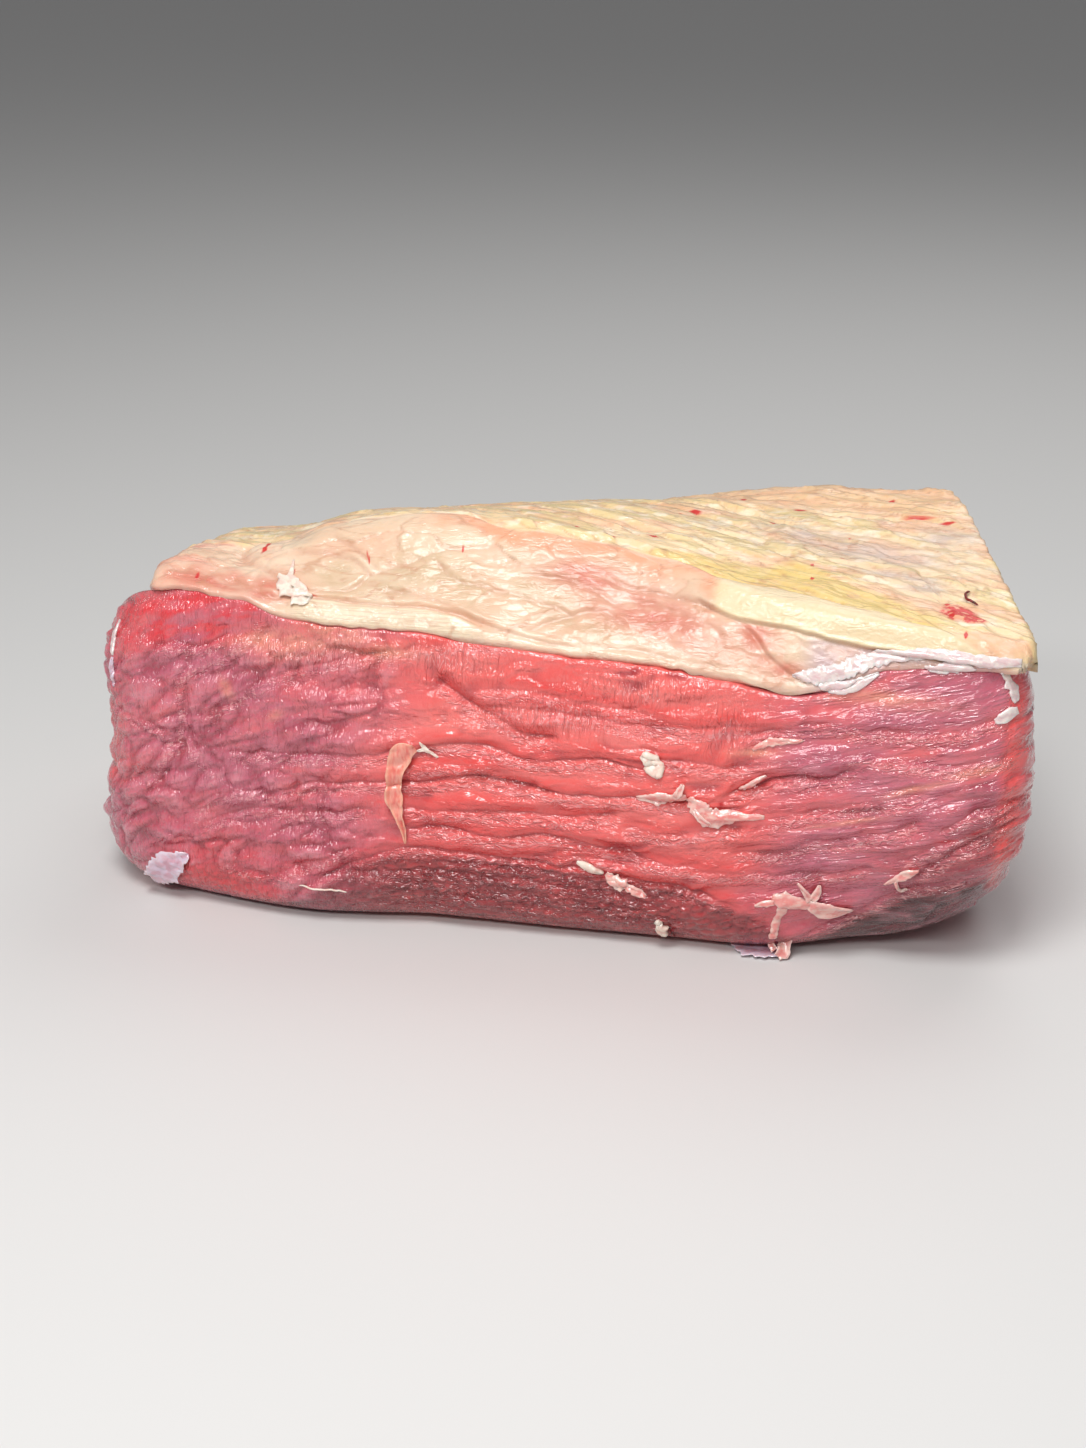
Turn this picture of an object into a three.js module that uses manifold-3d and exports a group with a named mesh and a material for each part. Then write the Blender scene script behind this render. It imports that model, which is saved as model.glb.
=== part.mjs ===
// A raw beef roasting joint: a block of lean muscle under a thick cap of fat.
//
// Millimetres, +Z up, +X along the joint, -Y towards the broad trimmed face with the long muscle folds.
// The origin is the middle of the joint's box, on the surface that it lies on.
//
// The joint was trimmed with a knife, so each of its two solids is made the same way: a few trimmed faces,
// each a plane or a gently curved surface, meet in rounded edges. The mesh of a box is then settled onto that
// form, the folds of the muscle are pressed into it, and the shreds of skin that hang on it are fused on.

import * as THREE from 'three';
import { mergeVertices } from 'three/addons/utils/BufferGeometryUtils.js';
import Module from 'manifold-3d';

// ---- Driving dimensions ---------------------------------------------------------------------------------

// The middle of the joint's box, in the frame that the curves and points below are drawn in.
const MIDDLE_X = 2.3;
const MIDDLE_Y = -1.2;

const FRONT_Y = -60; // the broad front face, at mid height
const BACK_Y = 60;
const LEFT_X = -125.5;
const NEAR_LEFT = LEFT_X + 4.5; // just inside the left end, where a settled mesh starts
const RIGHT_X = 131;
const RIGHT_SLANT = 0.27; // the right end is cut aslant: it retreats by this much per mm behind y = -35
const WAIST_Z = 42; // the height at which the sides bulge the furthest
const FRONT_BULGE = 0.0026; // how fast the front falls away above and below its waist, per mm
const BACK_BULGE = 0.0025;
const RIGHT_BULGE = 0.0018;
const FRONT_TURN = 0.0006; // how fast the front falls away near its two ends, per mm
const BACK_TURN = 0.0004;
const LEFT_HOLLOW = { z: 48, half: 18, deep: 3.5 }; // the left end is hollow at mid height
const LEFT_HEEL = { z: 18, half: 16, deep: 3 }; // and stands out again near its foot
const LEFT_SLOPE = { x: -107, height: 98.5, rise: 1.4, fall: 12 }; // the fat thins out over it at the left
const FAT_CORNER = { x: -105, retreat: 0.36 }; // the fat's left end stands back from the front corner

const SEAM_GAP = 0.5; // clearance between the lean and the fat
const FLOOR_CLEARANCE = 0.3; // under the shreds
const SEAM_EASE = 60; // how far behind the front face the seam settles to its height inside the joint

// Heights along the joint, as [x, value].
const SEAM_AT_FRONT = [
  [-132, 90], [-110, 91], [-95, 92], [-78, 90], [-63, 86], [-32, 85], [10, 82],
  [45, 80], [62, 77.5], [76, 77], [92, 84], [108, 86], [134, 86],
];
const SEAM_INSIDE = [[-132, 43], [-112, 57], [-80, 69], [-30, 74], [10, 77], [60, 81], [134, 78]];
const RIDGE_HEIGHT = [
  [-118, 91], [-108, 96], [-98, 99], [-85, 99], [-72, 101], [-60, 106], [-40, 109.5],
  [-14, 110.5], [10, 108.5], [30, 105], [48, 101], [75, 98], [105, 94.5], [134, 91],
];
const BACK_HEIGHT = [
  [-124, 62], [-112, 70], [-66, 80], [-30, 84], [0, 90],
  [30, 97], [60, 101], [80, 102], [105, 104.5], [134, 104],
];

// Along the joint again: how far behind the front edge the fat's ridge lies, as a y; how far the top stands
// proud between its ridge and the back; and how far the front's foot stands out.
const RIDGE_SETBACK = [[-118, -46], [-66, -34], [-14, -30], [30, -34], [48, -42], [75, -50], [134, -52]];
const CROWN = [[-118, 4], [0, 4], [60, 1.5], [134, 0]];
const FRONT_FOOT = [
  [-132, -5], [-100, 1], [-60, 6], [-44, 4], [-25, 1], [0, 1], [40, 0], [68, -1], [90, -6], [110, -2],
];

const BELLY_HEIGHT = 10.5; // from one muscle belly to the next

// Folds of the front face, read off the joint: each runs through [x, z] points, and is this deep and wide.
const FOLDS = [
  { depth: 1.6, width: 2.2, run: [[-30, 54], [-16, 56], [0, 54], [22, 55.5], [34, 54]] },
  { depth: 2.4, width: 2.4, run: [[-36, 43], [-15, 46], [0, 46], [15, 45], [30, 45.5], [46, 45]] },
  { depth: 1.4, width: 2.2, run: [[-32, 37], [-16, 37], [9, 38], [30, 37]] },
  { depth: 1.8, width: 2.2, run: [[-31, 31], [-15, 31], [9, 32], [22, 30]] },
  { depth: 1.6, width: 2.6, run: [[-55, 14], [-40, 23], [-12, 24.5], [17, 23], [48, 20]] },
  { depth: 2.0, width: 2.4, run: [[-22, 72], [-7, 64], [0, 61], [10, 60]] },
  { depth: 2.2, width: 2.4, run: [[52, 48], [63, 52], [78, 55.5], [92, 59]] },
  { depth: 1.4, width: 2.2, run: [[57, 32], [68, 33], [86, 38.5], [104, 45]] },
  { depth: 1.6, width: 2.4, run: [[105, 29], [119, 40], [131, 47]] },
  { depth: 1.4, width: 2.2, run: [[112, 45], [119, 49], [131, 54]] },
  { depth: 2.0, width: 2.6, run: [[-69, 86], [-75, 77], [-83, 71], [-96, 66]] },
  { depth: 1.4, width: 2.6, run: [[-102, 77], [-90, 77.5], [-82, 81]] },
  { depth: 1.6, width: 2.4, run: [[-81, 48], [-60, 49], [-42, 51], [-36, 53]] },
  { depth: 1.6, width: 2.4, run: [[-72, 37], [-56, 41.5], [-38, 43.5]] },
  { depth: 1.2, width: 2.4, run: [[-92, 30], [-81, 35], [-72, 37]] },
  { depth: 1.0, width: 2.6, run: [[-124, 60], [-108, 56], [-96, 50], [-84, 40]] },
];

// Shreds of skin and fat that cling to the joint: strips through [x, z, how far proud of the face] points.
const SHREDS = [
  {
    name: 'hanging strip',
    thick: 1.6,
    points: [[-29, 54, 0.3], [-35, 51, 0.9], [-37.5, 43, 1.0], [-35, 36.5, 0.9], [-32, 26.5, 0.2]],
    wide: [2.5, 4.6, 3.4, 4.6, 3, 1.8, 0.8],
  },
  {
    name: 'nub of fat',
    thick: 3.4,
    points: [[33, 57.5, 0.2], [35, 56, 0.9], [38, 53, 0.4]],
    wide: [2.4, 4.8, 2.6],
  },
  {
    name: 'skin by the middle fold',
    thick: 1.6,
    points: [[42, 48, 0.1], [52, 47, 0.4], [66, 42.5, 0.1]],
    wide: [2, 4.4, 1.8],
  },
  {
    name: 'skin below the middle',
    thick: 1.6,
    points: [[16, 25, 0.2], [25, 20, 0.5], [33, 15.5, 0.2]],
    wide: [3, 3.4, 2],
  },
  {
    name: 'lower flap',
    thick: 1.6,
    points: [[62, 17, 0.2], [72, 18.5, 1.0], [83, 17, 1.4], [92, 18, 0.4]],
    wide: [3, 6.5, 6, 2],
  },
  {
    name: 'skin at the right',
    thick: 1.6,
    points: [[95, 27, 0.2], [100, 29.5, 0.5], [105, 32, 0.1]],
    wide: [2, 3, 1.6],
  },
  {
    name: 'foot shred',
    thick: 1.2,
    points: [[67, 11, 0.1], [66.5, 5, 1.2], [66, 2, 3.4], [65, 1.1, 7]],
    wide: [4, 9, 14, 9],
    across: [1, 0, 0],
  },
  {
    name: 'foot nub',
    thick: 2.6,
    points: [[37, 9.5, 0.2], [38, 6, 0.8], [38.5, 4, 0.4]],
    wide: [2, 3.6, 2],
  },
  {
    name: 'skin at the left foot',
    thick: 1.4,
    points: [[-94, 15, 0.1], [-99, 12, 1.0], [-105, 7.5, 2], [-109.5, 4, 2.6]],
    wide: [4, 8, 10, 5],
  },
];

// How many vertices the two meshes have along, across and up.
const LEAN_ROWS = [47, 15, 28];
const FAT_ROWS = [47, 15, 5];

// ---- Curves and blends ----------------------------------------------------------------------------------

/** A smooth line through [x, value] points, level beyond its ends and beside level stretches. */
function curve(points) {
  const last = points.length - 1;
  const slopes = points.slice(1).map(([x, v], i) => (v - points[i][1]) / (x - points[i][0]));
  const tangents = points.map((_, i) => {
    const before = slopes[Math.max(i - 1, 0)];
    const after = slopes[Math.min(i, last - 1)];
    return before === 0 || after === 0 ? 0 : (before + after) / 2;
  });
  return (at) => {
    const x = Math.min(Math.max(at, points[0][0]), points[last][0]);
    let i = 0;
    while (i < last - 1 && x >= points[i + 1][0]) i += 1;
    const span = points[i + 1][0] - points[i][0];
    const t = (x - points[i][0]) / span;
    return (1 + 2 * t) * (1 - t) ** 2 * points[i][1] + t * (1 - t) ** 2 * span * tangents[i]
      + t * t * (3 - 2 * t) * points[i + 1][1] + t * t * (t - 1) * span * tangents[i + 1];
  };
}

/** 0 below 0, 1 above 1, and smooth between. */
function ease(share) {
  const t = Math.min(Math.max(share, 0), 1);
  return t * t * (3 - 2 * t);
}

/** The larger of two distances, with the edge between them rounded. */
function rounded(a, b, radius) {
  const overlap = Math.max(radius - Math.abs(a - b), 0);
  return Math.max(a, b) + overlap * overlap / (4 * radius);
}

/** How far a point is outside a flat cut through `on` that faces along `facing`. */
function cut(on, facing) {
  const point = new THREE.Vector3(...on);
  const normal = new THREE.Vector3(...facing).normalize();
  return (p) => normal.dot(p) - normal.dot(point);
}

// ---- The trimmed faces ----------------------------------------------------------------------------------

const seamAtFront = curve(SEAM_AT_FRONT);
const seamInside = curve(SEAM_INSIDE);
const ridgeHeight = curve(RIDGE_HEIGHT);
const ridgeSetback = curve(RIDGE_SETBACK);
const backHeight = curve(BACK_HEIGHT);
const crown = curve(CROWN);
const frontFoot = curve(FRONT_FOOT);

/** Height of the seam between lean and fat. */
function seam(x, y) {
  const inside = ease((y - FRONT_Y - 2) / SEAM_EASE);
  return seamAtFront(x) * (1 - inside) + seamInside(x) * inside;
}

/** Height of the fat's upper surface, behind its ridge. */
function fatTop(x, y) {
  const setback = ridgeSetback(x);
  const t = (y - setback) / (BACK_Y - 10 - setback);
  const arch = Math.sin(Math.PI * Math.min(Math.max(t, 0), 1));
  return ridgeHeight(x) + (backHeight(x) - ridgeHeight(x)) * t + crown(x) * arch;
}

/** Height of the slope that the fat thins out over at its left end. */
function leftSlope(x, y) {
  const fall = LEFT_SLOPE.fall * ease((y - FRONT_Y - 2) / 45);
  return LEFT_SLOPE.height + LEFT_SLOPE.rise * (x - LEFT_SLOPE.x) - fall;
}

/** How far a point is outside the broad front face: it swells at the waist and again at the foot. */
function frontFace(p) {
  const nearAnEnd = Math.max(Math.abs(p.x + 5) - 60, 0);
  const fall = FRONT_BULGE * (p.z - WAIST_Z) ** 2 + FRONT_TURN * nearAnEnd ** 2;
  const foot = frontFoot(p.x) * ease((WAIST_Z + 4 - p.z) / 40);
  return FRONT_Y + fall - foot - p.y;
}

/** How far a point is outside the back, which bulges at the waist and curves round towards both ends. */
function backFace(p) {
  return p.y - BACK_Y + BACK_TURN * (p.x - 10) ** 2 + BACK_BULGE * (p.z - WAIST_Z - 3) ** 2;
}

// The flat cuts: the two ends, the undercut below the right of the front, and the left shoulder.
const rightCut = cut([RIGHT_X, -35, 45], [1, RIGHT_SLANT, 0]);
const leftCut = cut([LEFT_X, -35, 50], [-1, 0.03, -0.02]);
const undersideCut = cut([105, -48, 8.5], [0.46, -0.36, -0.72]);
const shoulderCut = cut([-119, -40, 84], [-0.66, -0.12, 0.74]);

/** The four sides that lean and fat share, their upright edges rounded by `edge`. */
function sides(p, edge) {
  const bell = ({ z, half, deep }) => deep * Math.exp(-(((p.z - z) / half) ** 2));
  const right = rightCut(p) + RIGHT_BULGE * (p.z - WAIST_Z - 6) ** 2;
  const left = leftCut(p) + bell(LEFT_HOLLOW) - bell(LEFT_HEEL);
  return rounded(rounded(rounded(backFace(p), frontFace(p), 10), right, edge), left, edge);
}

/** The lean's form: negative inside, positive outside. */
function lean(p) {
  let outside = sides(p, 22);
  outside = rounded(outside, undersideCut(p), 14);
  outside = rounded(outside, shoulderCut(p), 14);
  outside = rounded(outside, -p.z, 12);
  return rounded(outside, p.z - seam(p.x, p.y), 3);
}

/** The sloping front of the fat, from the seam up to the ridge. */
function bevel(p) {
  const back = ridgeSetback(p.x) - (FRONT_Y + 2);
  const up = ridgeHeight(p.x) - seamAtFront(p.x);
  const y = p.y - (FRONT_Y + 2);
  const z = p.z - seamAtFront(p.x);
  return (z * back - y * up) / Math.hypot(back, up);
}

/** Where the fat's left edge is in front, before it reaches the left end of the joint. */
function fatCorner(y) {
  return FAT_CORNER.x - FAT_CORNER.retreat * (y - FRONT_Y - 10);
}

/** The fat's form: negative inside, positive outside. */
function fat(p) {
  let outside = rounded(sides(p, 8), bevel(p), 3);
  outside = rounded(outside, p.z - fatTop(p.x, p.y), 5);
  outside = rounded(outside, (p.z - leftSlope(p.x, p.y)) / Math.hypot(1, LEFT_SLOPE.rise), 5);
  outside = rounded(outside, (fatCorner(p.y) - p.x) / Math.hypot(1, FAT_CORNER.retreat), 4);
  return rounded(outside, seam(p.x, p.y) + SEAM_GAP - p.z, 1.5);
}

// ---- Settling a mesh onto a form ------------------------------------------------------------------------

/** Which way, and how fast, a form's distance grows at a point. */
function slope(form, p) {
  const h = 0.05;
  const along = (axis) => {
    const ahead = p.clone();
    const behind = p.clone();
    ahead[axis] += h;
    behind[axis] -= h;
    return (form(ahead) - form(behind)) / (2 * h);
  };
  return new THREE.Vector3(along('x'), along('y'), along('z'));
}

/** Moves a point onto the form's surface, by nearly the shortest way. */
function settle(form, p) {
  const [rounds, longestStep, gentlestSlope] = [14, 6, 0.15];
  for (let round = 0; round < rounds; round += 1) {
    const s = slope(form, p);
    const step = form(p) / Math.max(s.lengthSq(), gentlestSlope);
    p.addScaledVector(s, -THREE.MathUtils.clamp(step, -longestStep, longestStep));
  }
  return p;
}

/** Evenly spaced numbers from a to b. */
function spaced(a, b, count) {
  return Array.from({ length: count }, (_, i) => a + (b - a) * i / (count - 1));
}

/** The sides of a box as one closed mesh, with rows at xs, ys and zs, and each vertex sent through place. */
function boxMesh(xs, ys, zs, place) {
  const positions = [];
  const index = [];
  const made = new Map();
  const vertex = (i, j, k) => {
    const key = (i * ys.length + j) * zs.length + k;
    if (!made.has(key)) {
      made.set(key, made.size);
      positions.push(...place(new THREE.Vector3(xs[i], ys[j], zs[k])));
    }
    return made.get(key);
  };
  const side = (countU, countV, at) => {
    for (let u = 0; u < countU; u += 1) {
      for (let v = 0; v < countV; v += 1) {
        const [a, b, c, d] = [at(u, v), at(u + 1, v), at(u + 1, v + 1), at(u, v + 1)];
        index.push(a, b, c, a, c, d);
      }
    }
  };
  const [nx, ny, nz] = [xs.length - 1, ys.length - 1, zs.length - 1];
  side(ny, nx, (j, i) => vertex(i, j, 0));
  side(nx, ny, (i, j) => vertex(i, j, nz));
  side(nx, nz, (i, k) => vertex(i, 0, k));
  side(nz, nx, (k, i) => vertex(i, ny, k));
  side(nz, ny, (k, j) => vertex(0, j, k));
  side(ny, nz, (j, k) => vertex(nx, j, k));
  const geometry = new THREE.BufferGeometry();
  geometry.setAttribute('position', new THREE.Float32BufferAttribute(positions, 3));
  geometry.setIndex(index);
  return geometry;
}

// ---- Relief ---------------------------------------------------------------------------------------------

/** Distance from (x, z) to a line through points. */
function distanceToRun(x, z, run) {
  let nearest = Infinity;
  for (let i = 1; i < run.length; i += 1) {
    const [ax, az] = run[i - 1];
    const [dx, dz] = [run[i][0] - ax, run[i][1] - az];
    const t = THREE.MathUtils.clamp(((x - ax) * dx + (z - az) * dz) / (dx * dx + dz * dz), 0, 1);
    nearest = Math.min(nearest, Math.hypot(x - ax - t * dx, z - az - t * dz));
  }
  return nearest;
}

/** Long bellies of muscle that run along the joint, wander up and down, and come and go. */
function bellies(p) {
  const wander = 3 * Math.sin(p.x / 29) + 1.8 * Math.sin(p.x / 13 + 1.3) + 0.08 * p.x;
  const strength = 0.35 + 0.35 * Math.sin(p.x / 21 + p.z / 9 + p.y / 17);
  return strength * Math.sin((p.z - wander) * 2 * Math.PI / BELLY_HEIGHT + p.y / 15);
}

/** Shallow lumps all over, some 40 mm apart. */
function lumps(p) {
  return 0.6 * Math.sin(p.x / 13 + 0.7 * Math.sin(p.z / 11)) * Math.sin(p.z / 12 + p.y / 16 + 0.9);
}

/** How far the lean stands out from its trimmed form, along its own normal. */
function leanRelief(p, normal) {
  const facesFront = THREE.MathUtils.clamp(-normal.y * 1.4, 0, 1);
  const pressed = FOLDS.reduce((sum, fold) => {
    const away = distanceToRun(p.x, p.z, fold.run) / fold.width;
    return sum - fold.depth * Math.exp(-away * away);
  }, 0);
  const offTheFloor = ease(p.z / 12);
  const belowTheSeam = ease((seam(p.x, p.y) - p.z - 1) / 6);
  return (pressed * facesFront + bellies(p) + lumps(p)) * offTheFloor * belowTheSeam;
}

/** How far the fat stands out: soft folds across its slope and top. */
function fatRelief(p) {
  const aboveTheSeam = ease((p.z - seam(p.x, p.y) - 2) / 6);
  const folds = 0.5 * Math.sin(p.x / 7.5 + 1.2 * Math.sin(p.y / 9)) * Math.sin(p.y / 8 + p.x / 31);
  const dimples = 0.35 * Math.sin(p.x / 19 + p.y / 11);
  return (folds + dimples) * aboveTheSeam;
}

/** Moves a point of the form's surface out or in by the relief there. */
function pressRelief(form, relief, p) {
  const normal = slope(form, p).normalize();
  return p.addScaledVector(normal, relief(p, normal));
}

// ---- The solids -----------------------------------------------------------------------------------------

/** Just inside the right end, where a settled mesh starts. */
function nearRight(y) {
  return RIGHT_X - 5 - RIGHT_SLANT * Math.max(y + 35, 0);
}

function leanGeometry() {
  const top = 84;
  const mid = 40;
  const [along, across, up] = LEAN_ROWS;
  return boxMesh(spaced(0, 1, along), spaced(-55, 55, across), spaced(2, top, up), (p) => {
    p.x = THREE.MathUtils.lerp(NEAR_LEFT, nearRight(p.y), p.x);
    if (p.z > mid) p.z = mid + (p.z - mid) / (top - mid) * (seam(p.x, p.y) - mid);
    settle(lean, p);
    return pressRelief(lean, leanRelief, p);
  });
}

function fatGeometry() {
  const [along, across, up] = FAT_ROWS;
  return boxMesh(spaced(0, 1, along), spaced(-54, 54, across), spaced(0, 1, up), (p) => {
    p.x = THREE.MathUtils.lerp(Math.max(NEAR_LEFT, fatCorner(p.y) + 1), nearRight(p.y), p.x);
    const low = seam(p.x, p.y) + SEAM_GAP;
    const slopeHeight = low + 3 + (p.y - FRONT_Y - 2);
    const high = Math.min(fatTop(p.x, p.y), slopeHeight, leftSlope(p.x, p.y));
    p.z = low + (Math.max(high, low + 2) - low) * p.z;
    settle(fat, p);
    return pressRelief(fat, fatRelief, p);
  });
}

/** Where the lean's front face is at (x, z), found by halving. */
function frontSkin(x, z) {
  let [outer, inner] = [FRONT_Y - 20, 0];
  for (let round = 0; round < 30; round += 1) {
    const middle = (outer + inner) / 2;
    if (lean(new THREE.Vector3(x, middle, z)) > 0) outer = middle;
    else inner = middle;
  }
  return inner;
}

/** A value between those listed, at a share of the way through the list. */
function listed(values, share) {
  const place = share * (values.length - 1);
  const i = Math.min(Math.floor(place), values.length - 2);
  return THREE.MathUtils.lerp(values[i], values[i + 1], place - i);
}

/** One shred: a strip with a four-cornered section, closed at both ends. Where it runs out onto the surface
    that the joint lies on, `across` says which way its width goes. */
function shredGeometry({ thick, points, wide, across }) {
  const stations = 9;
  const section = [[0.5, 0], [0.1, -0.5], [-0.5, 0], [-0.1, 0.5]];
  const path = new THREE.CatmullRomCurve3(points.map(([x, z, proud]) => (
    new THREE.Vector3(x, frontSkin(x, Math.max(z, 3)) - proud, z)
  )));
  const positions = [];
  const index = [];
  for (let s = 0; s < stations; s += 1) {
    const t = s / (stations - 1);
    const at = path.getPoint(t);
    const along = path.getTangent(t);
    const side = new THREE.Vector3(...(across || [along.z, 0, -along.x])).normalize();
    const out = new THREE.Vector3().crossVectors(along, side).normalize();
    for (const [u, v] of section) {
      const corner = at.clone().addScaledVector(side, u * listed(wide, t)).addScaledVector(out, v * thick);
      positions.push(corner.x, corner.y, Math.max(corner.z, FLOOR_CLEARANCE));
    }
    if (s === 0) continue;
    const [a, b] = [(s - 1) * 4, s * 4];
    for (let k = 0; k < 4; k += 1) {
      const next = (k + 1) % 4;
      index.push(a + k, a + next, b + next, a + k, b + next, b + k);
    }
  }
  const end = (stations - 1) * 4;
  index.push(0, 2, 1, 0, 3, 2, end, end + 1, end + 2, end, end + 2, end + 3);
  const geometry = new THREE.BufferGeometry();
  geometry.setAttribute('position', new THREE.Float32BufferAttribute(positions, 3));
  geometry.setIndex(index);
  return geometry;
}

// ---- Joining --------------------------------------------------------------------------------------------

const wasm = await Module();
wasm.setup();

/** A geometry as a solid, turned right side out if its faces point inwards. */
function solidOf(geometry) {
  const merged = mergeVertices(geometry, 1e-4);
  const mesh = new wasm.Mesh({
    numProp: 3,
    vertProperties: merged.attributes.position.array,
    triVerts: new Uint32Array(merged.index.array),
  });
  const solid = new wasm.Manifold(mesh);
  if (solid.volume() > 0) return solid;
  mesh.triVerts.reverse();
  return new wasm.Manifold(mesh);
}

function geometryOf(solid) {
  const mesh = solid.getMesh();
  const geometry = new THREE.BufferGeometry();
  geometry.setAttribute('position', new THREE.BufferAttribute(Float32Array.from(mesh.vertProperties), 3));
  geometry.setIndex(new THREE.BufferAttribute(Uint32Array.from(mesh.triVerts), 1));
  return geometry;
}

/** The lean with every shred fused on, as one solid. A scrap that stands clear of it is dropped. */
function leanWithShreds() {
  const shreds = SHREDS.map((shred) => solidOf(shredGeometry(shred)));
  const joined = shreds.reduce((whole, shred) => whole.add(shred), solidOf(leanGeometry()));
  const [largest] = joined.decompose().sort((a, b) => b.volume() - a.volume());
  return geometryOf(largest);
}

function piece(name, geometry, material) {
  const mesh = new THREE.Mesh(geometry, material);
  mesh.name = name;
  return mesh;
}

const leanMaterial = new THREE.MeshStandardMaterial({ color: 0xb8464b, roughness: 0.35, metalness: 0 });
const fatMaterial = new THREE.MeshStandardMaterial({ color: 0xe9d9b8, roughness: 0.45, metalness: 0 });

const joint = new THREE.Group();
joint.add(piece('lean', leanWithShreds(), leanMaterial));
joint.add(piece('fat_cap', geometryOf(solidOf(fatGeometry())), fatMaterial));
joint.position.set(-MIDDLE_X, -MIDDLE_Y, 0);

export default joint;
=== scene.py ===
# %% [markdown]
# # A raw beef roasting joint
# In this lesson we make a roasting joint out of two large pieces, the lean meat and the cap of fat, and a
# few scraps of skin and fat that cling to the front. Meat has no parts that you could measure with
# callipers, so everything on it is one of three things: a trimmed face that a knife left, a fold that the
# muscle made, or a colour. We make them in that order. The packed model is loaded first, because it says
# how large the joint is and where it lies.

import bpy
import numpy as np
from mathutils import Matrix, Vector
from mathutils.bvhtree import BVHTree


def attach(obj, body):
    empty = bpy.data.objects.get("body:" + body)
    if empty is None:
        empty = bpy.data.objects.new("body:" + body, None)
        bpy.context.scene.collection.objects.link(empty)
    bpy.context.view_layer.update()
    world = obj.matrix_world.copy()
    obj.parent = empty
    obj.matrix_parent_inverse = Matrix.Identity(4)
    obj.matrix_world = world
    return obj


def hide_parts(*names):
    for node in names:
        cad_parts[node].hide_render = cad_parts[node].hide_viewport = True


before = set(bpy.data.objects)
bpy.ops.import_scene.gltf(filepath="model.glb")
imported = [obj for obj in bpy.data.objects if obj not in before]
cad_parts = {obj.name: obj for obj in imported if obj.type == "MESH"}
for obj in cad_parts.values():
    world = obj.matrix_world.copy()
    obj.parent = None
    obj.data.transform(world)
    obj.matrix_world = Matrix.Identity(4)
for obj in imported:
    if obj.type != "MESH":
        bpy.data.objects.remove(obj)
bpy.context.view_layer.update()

# %% [markdown]
# ## Units and the drawing frame
# Blender works in metres, but a butcher's joint is easier to think about in millimetres. So every curve and
# point below is in millimetres, in a drawing frame whose x runs along the joint, whose y runs from front to
# back and whose z is the height. One function moves finished points to the part's own frame.

# %% From the drawing frame to the part's frame
MM = 0.001
MIDDLE = np.array([2.3, -1.2, 0.0])  # the middle of the joint's box, in the drawing frame


def in_part_frame(points):
    """Millimetres in the drawing frame as metres in the part's frame."""
    return (np.asarray(points, float) - MIDDLE) * MM


print("the middle of the joint's foot, in metres:", in_part_frame(MIDDLE))

# %% [markdown]
# ## Smooth lines through a few points
# The seam between lean and fat wanders up and down along the joint, and so do the ridge and the back edge.
# Each could be one of Blender's curve objects, but we need its height at any x, not its shape in
# space. A cubic through listed points gives that in one call, for a hundred thousand values at a time.

# %% Curves, easing and rounded edges
def curve(points):
    """A smooth line through (x, value) points, level beyond its ends and beside level stretches."""
    xs, values = np.array(points, float).T
    slopes = np.diff(values) / np.diff(xs)
    before, after = np.append(slopes[0], slopes), np.append(slopes, slopes[-1])
    tangents = np.where((before == 0) | (after == 0), 0, (before + after) / 2)

    def at(x):
        x = np.clip(x, xs[0], xs[-1])
        i = np.clip(np.searchsorted(xs, x, side="right") - 1, 0, len(xs) - 2)
        span = xs[i + 1] - xs[i]
        t = (x - xs[i]) / span
        leave = (1 + 2 * t) * (1 - t) ** 2 * values[i] + t * (1 - t) ** 2 * span * tangents[i]
        arrive = t * t * (3 - 2 * t) * values[i + 1] + t * t * (t - 1) * span * tangents[i + 1]
        return leave + arrive

    return at


def ease(share):
    """0 below 0, 1 above 1, and smooth between."""
    t = np.clip(share, 0, 1)
    return t * t * (3 - 2 * t)


def rounded(a, b, radius):
    """The larger of two distances, with the edge between them rounded."""
    overlap = np.maximum(radius - np.abs(a - b), 0)
    return np.maximum(a, b) + overlap * overlap / (4 * radius)


print("a quarter of the way through an easing step:", ease(0.25))

# %% [markdown]
# ## The trimmed faces
# A joint is trimmed with a knife, so its form is a handful of gently curved faces that meet in rounded
# edges. We could push a cube about by hand until it looks right. Instead each face is a function that says
# how far a point is outside it, and the form is the largest of them. That keeps the packed model's exact
# shape, and it lets us choose how fine the mesh is.

# %% Sizes of the trimmed faces
FRONT_Y, BACK_Y = -60, 60
SEAM_FRONT_Y = FRONT_Y + 2  # where the seam and the fat's bevel start
LEFT_X, RIGHT_X = -125.5, 131
NEAR_LEFT = LEFT_X + 4.5
RIGHT_SLANT = 0.27
WAIST_Z = 42  # the height at which the faces bulge most
SEAM_EASE = 60  # how far in the seam changes from its front line to its inner one
SEAM_OVERLAP = 0.2  # the fat is grown onto the lean, so in this model it sinks into it a little

seam_at_front = curve([
    (-132, 90), (-110, 91), (-95, 92), (-78, 90), (-63, 86), (-32, 85), (10, 82),
    (45, 80), (62, 77.5), (76, 77), (92, 84), (108, 86), (134, 86),
])
seam_inside = curve([(-132, 43), (-112, 57), (-80, 69), (-30, 74), (10, 77), (60, 81), (134, 78)])
ridge_height = curve([
    (-118, 91), (-108, 96), (-98, 99), (-85, 99), (-72, 101), (-60, 106), (-40, 109.5),
    (-14, 110.5), (10, 108.5), (30, 105), (48, 101), (75, 98), (105, 94.5), (134, 91),
])
back_height = curve([
    (-124, 62), (-112, 70), (-66, 80), (-30, 84), (0, 90),
    (30, 97), (60, 101), (80, 102), (105, 104.5), (134, 104),
])
ridge_setback = curve([(-118, -46), (-66, -34), (-14, -30), (30, -34), (48, -42), (75, -50), (134, -52)])
crown = curve([(-118, 4), (0, 4), (60, 1.5), (134, 0)])
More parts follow.
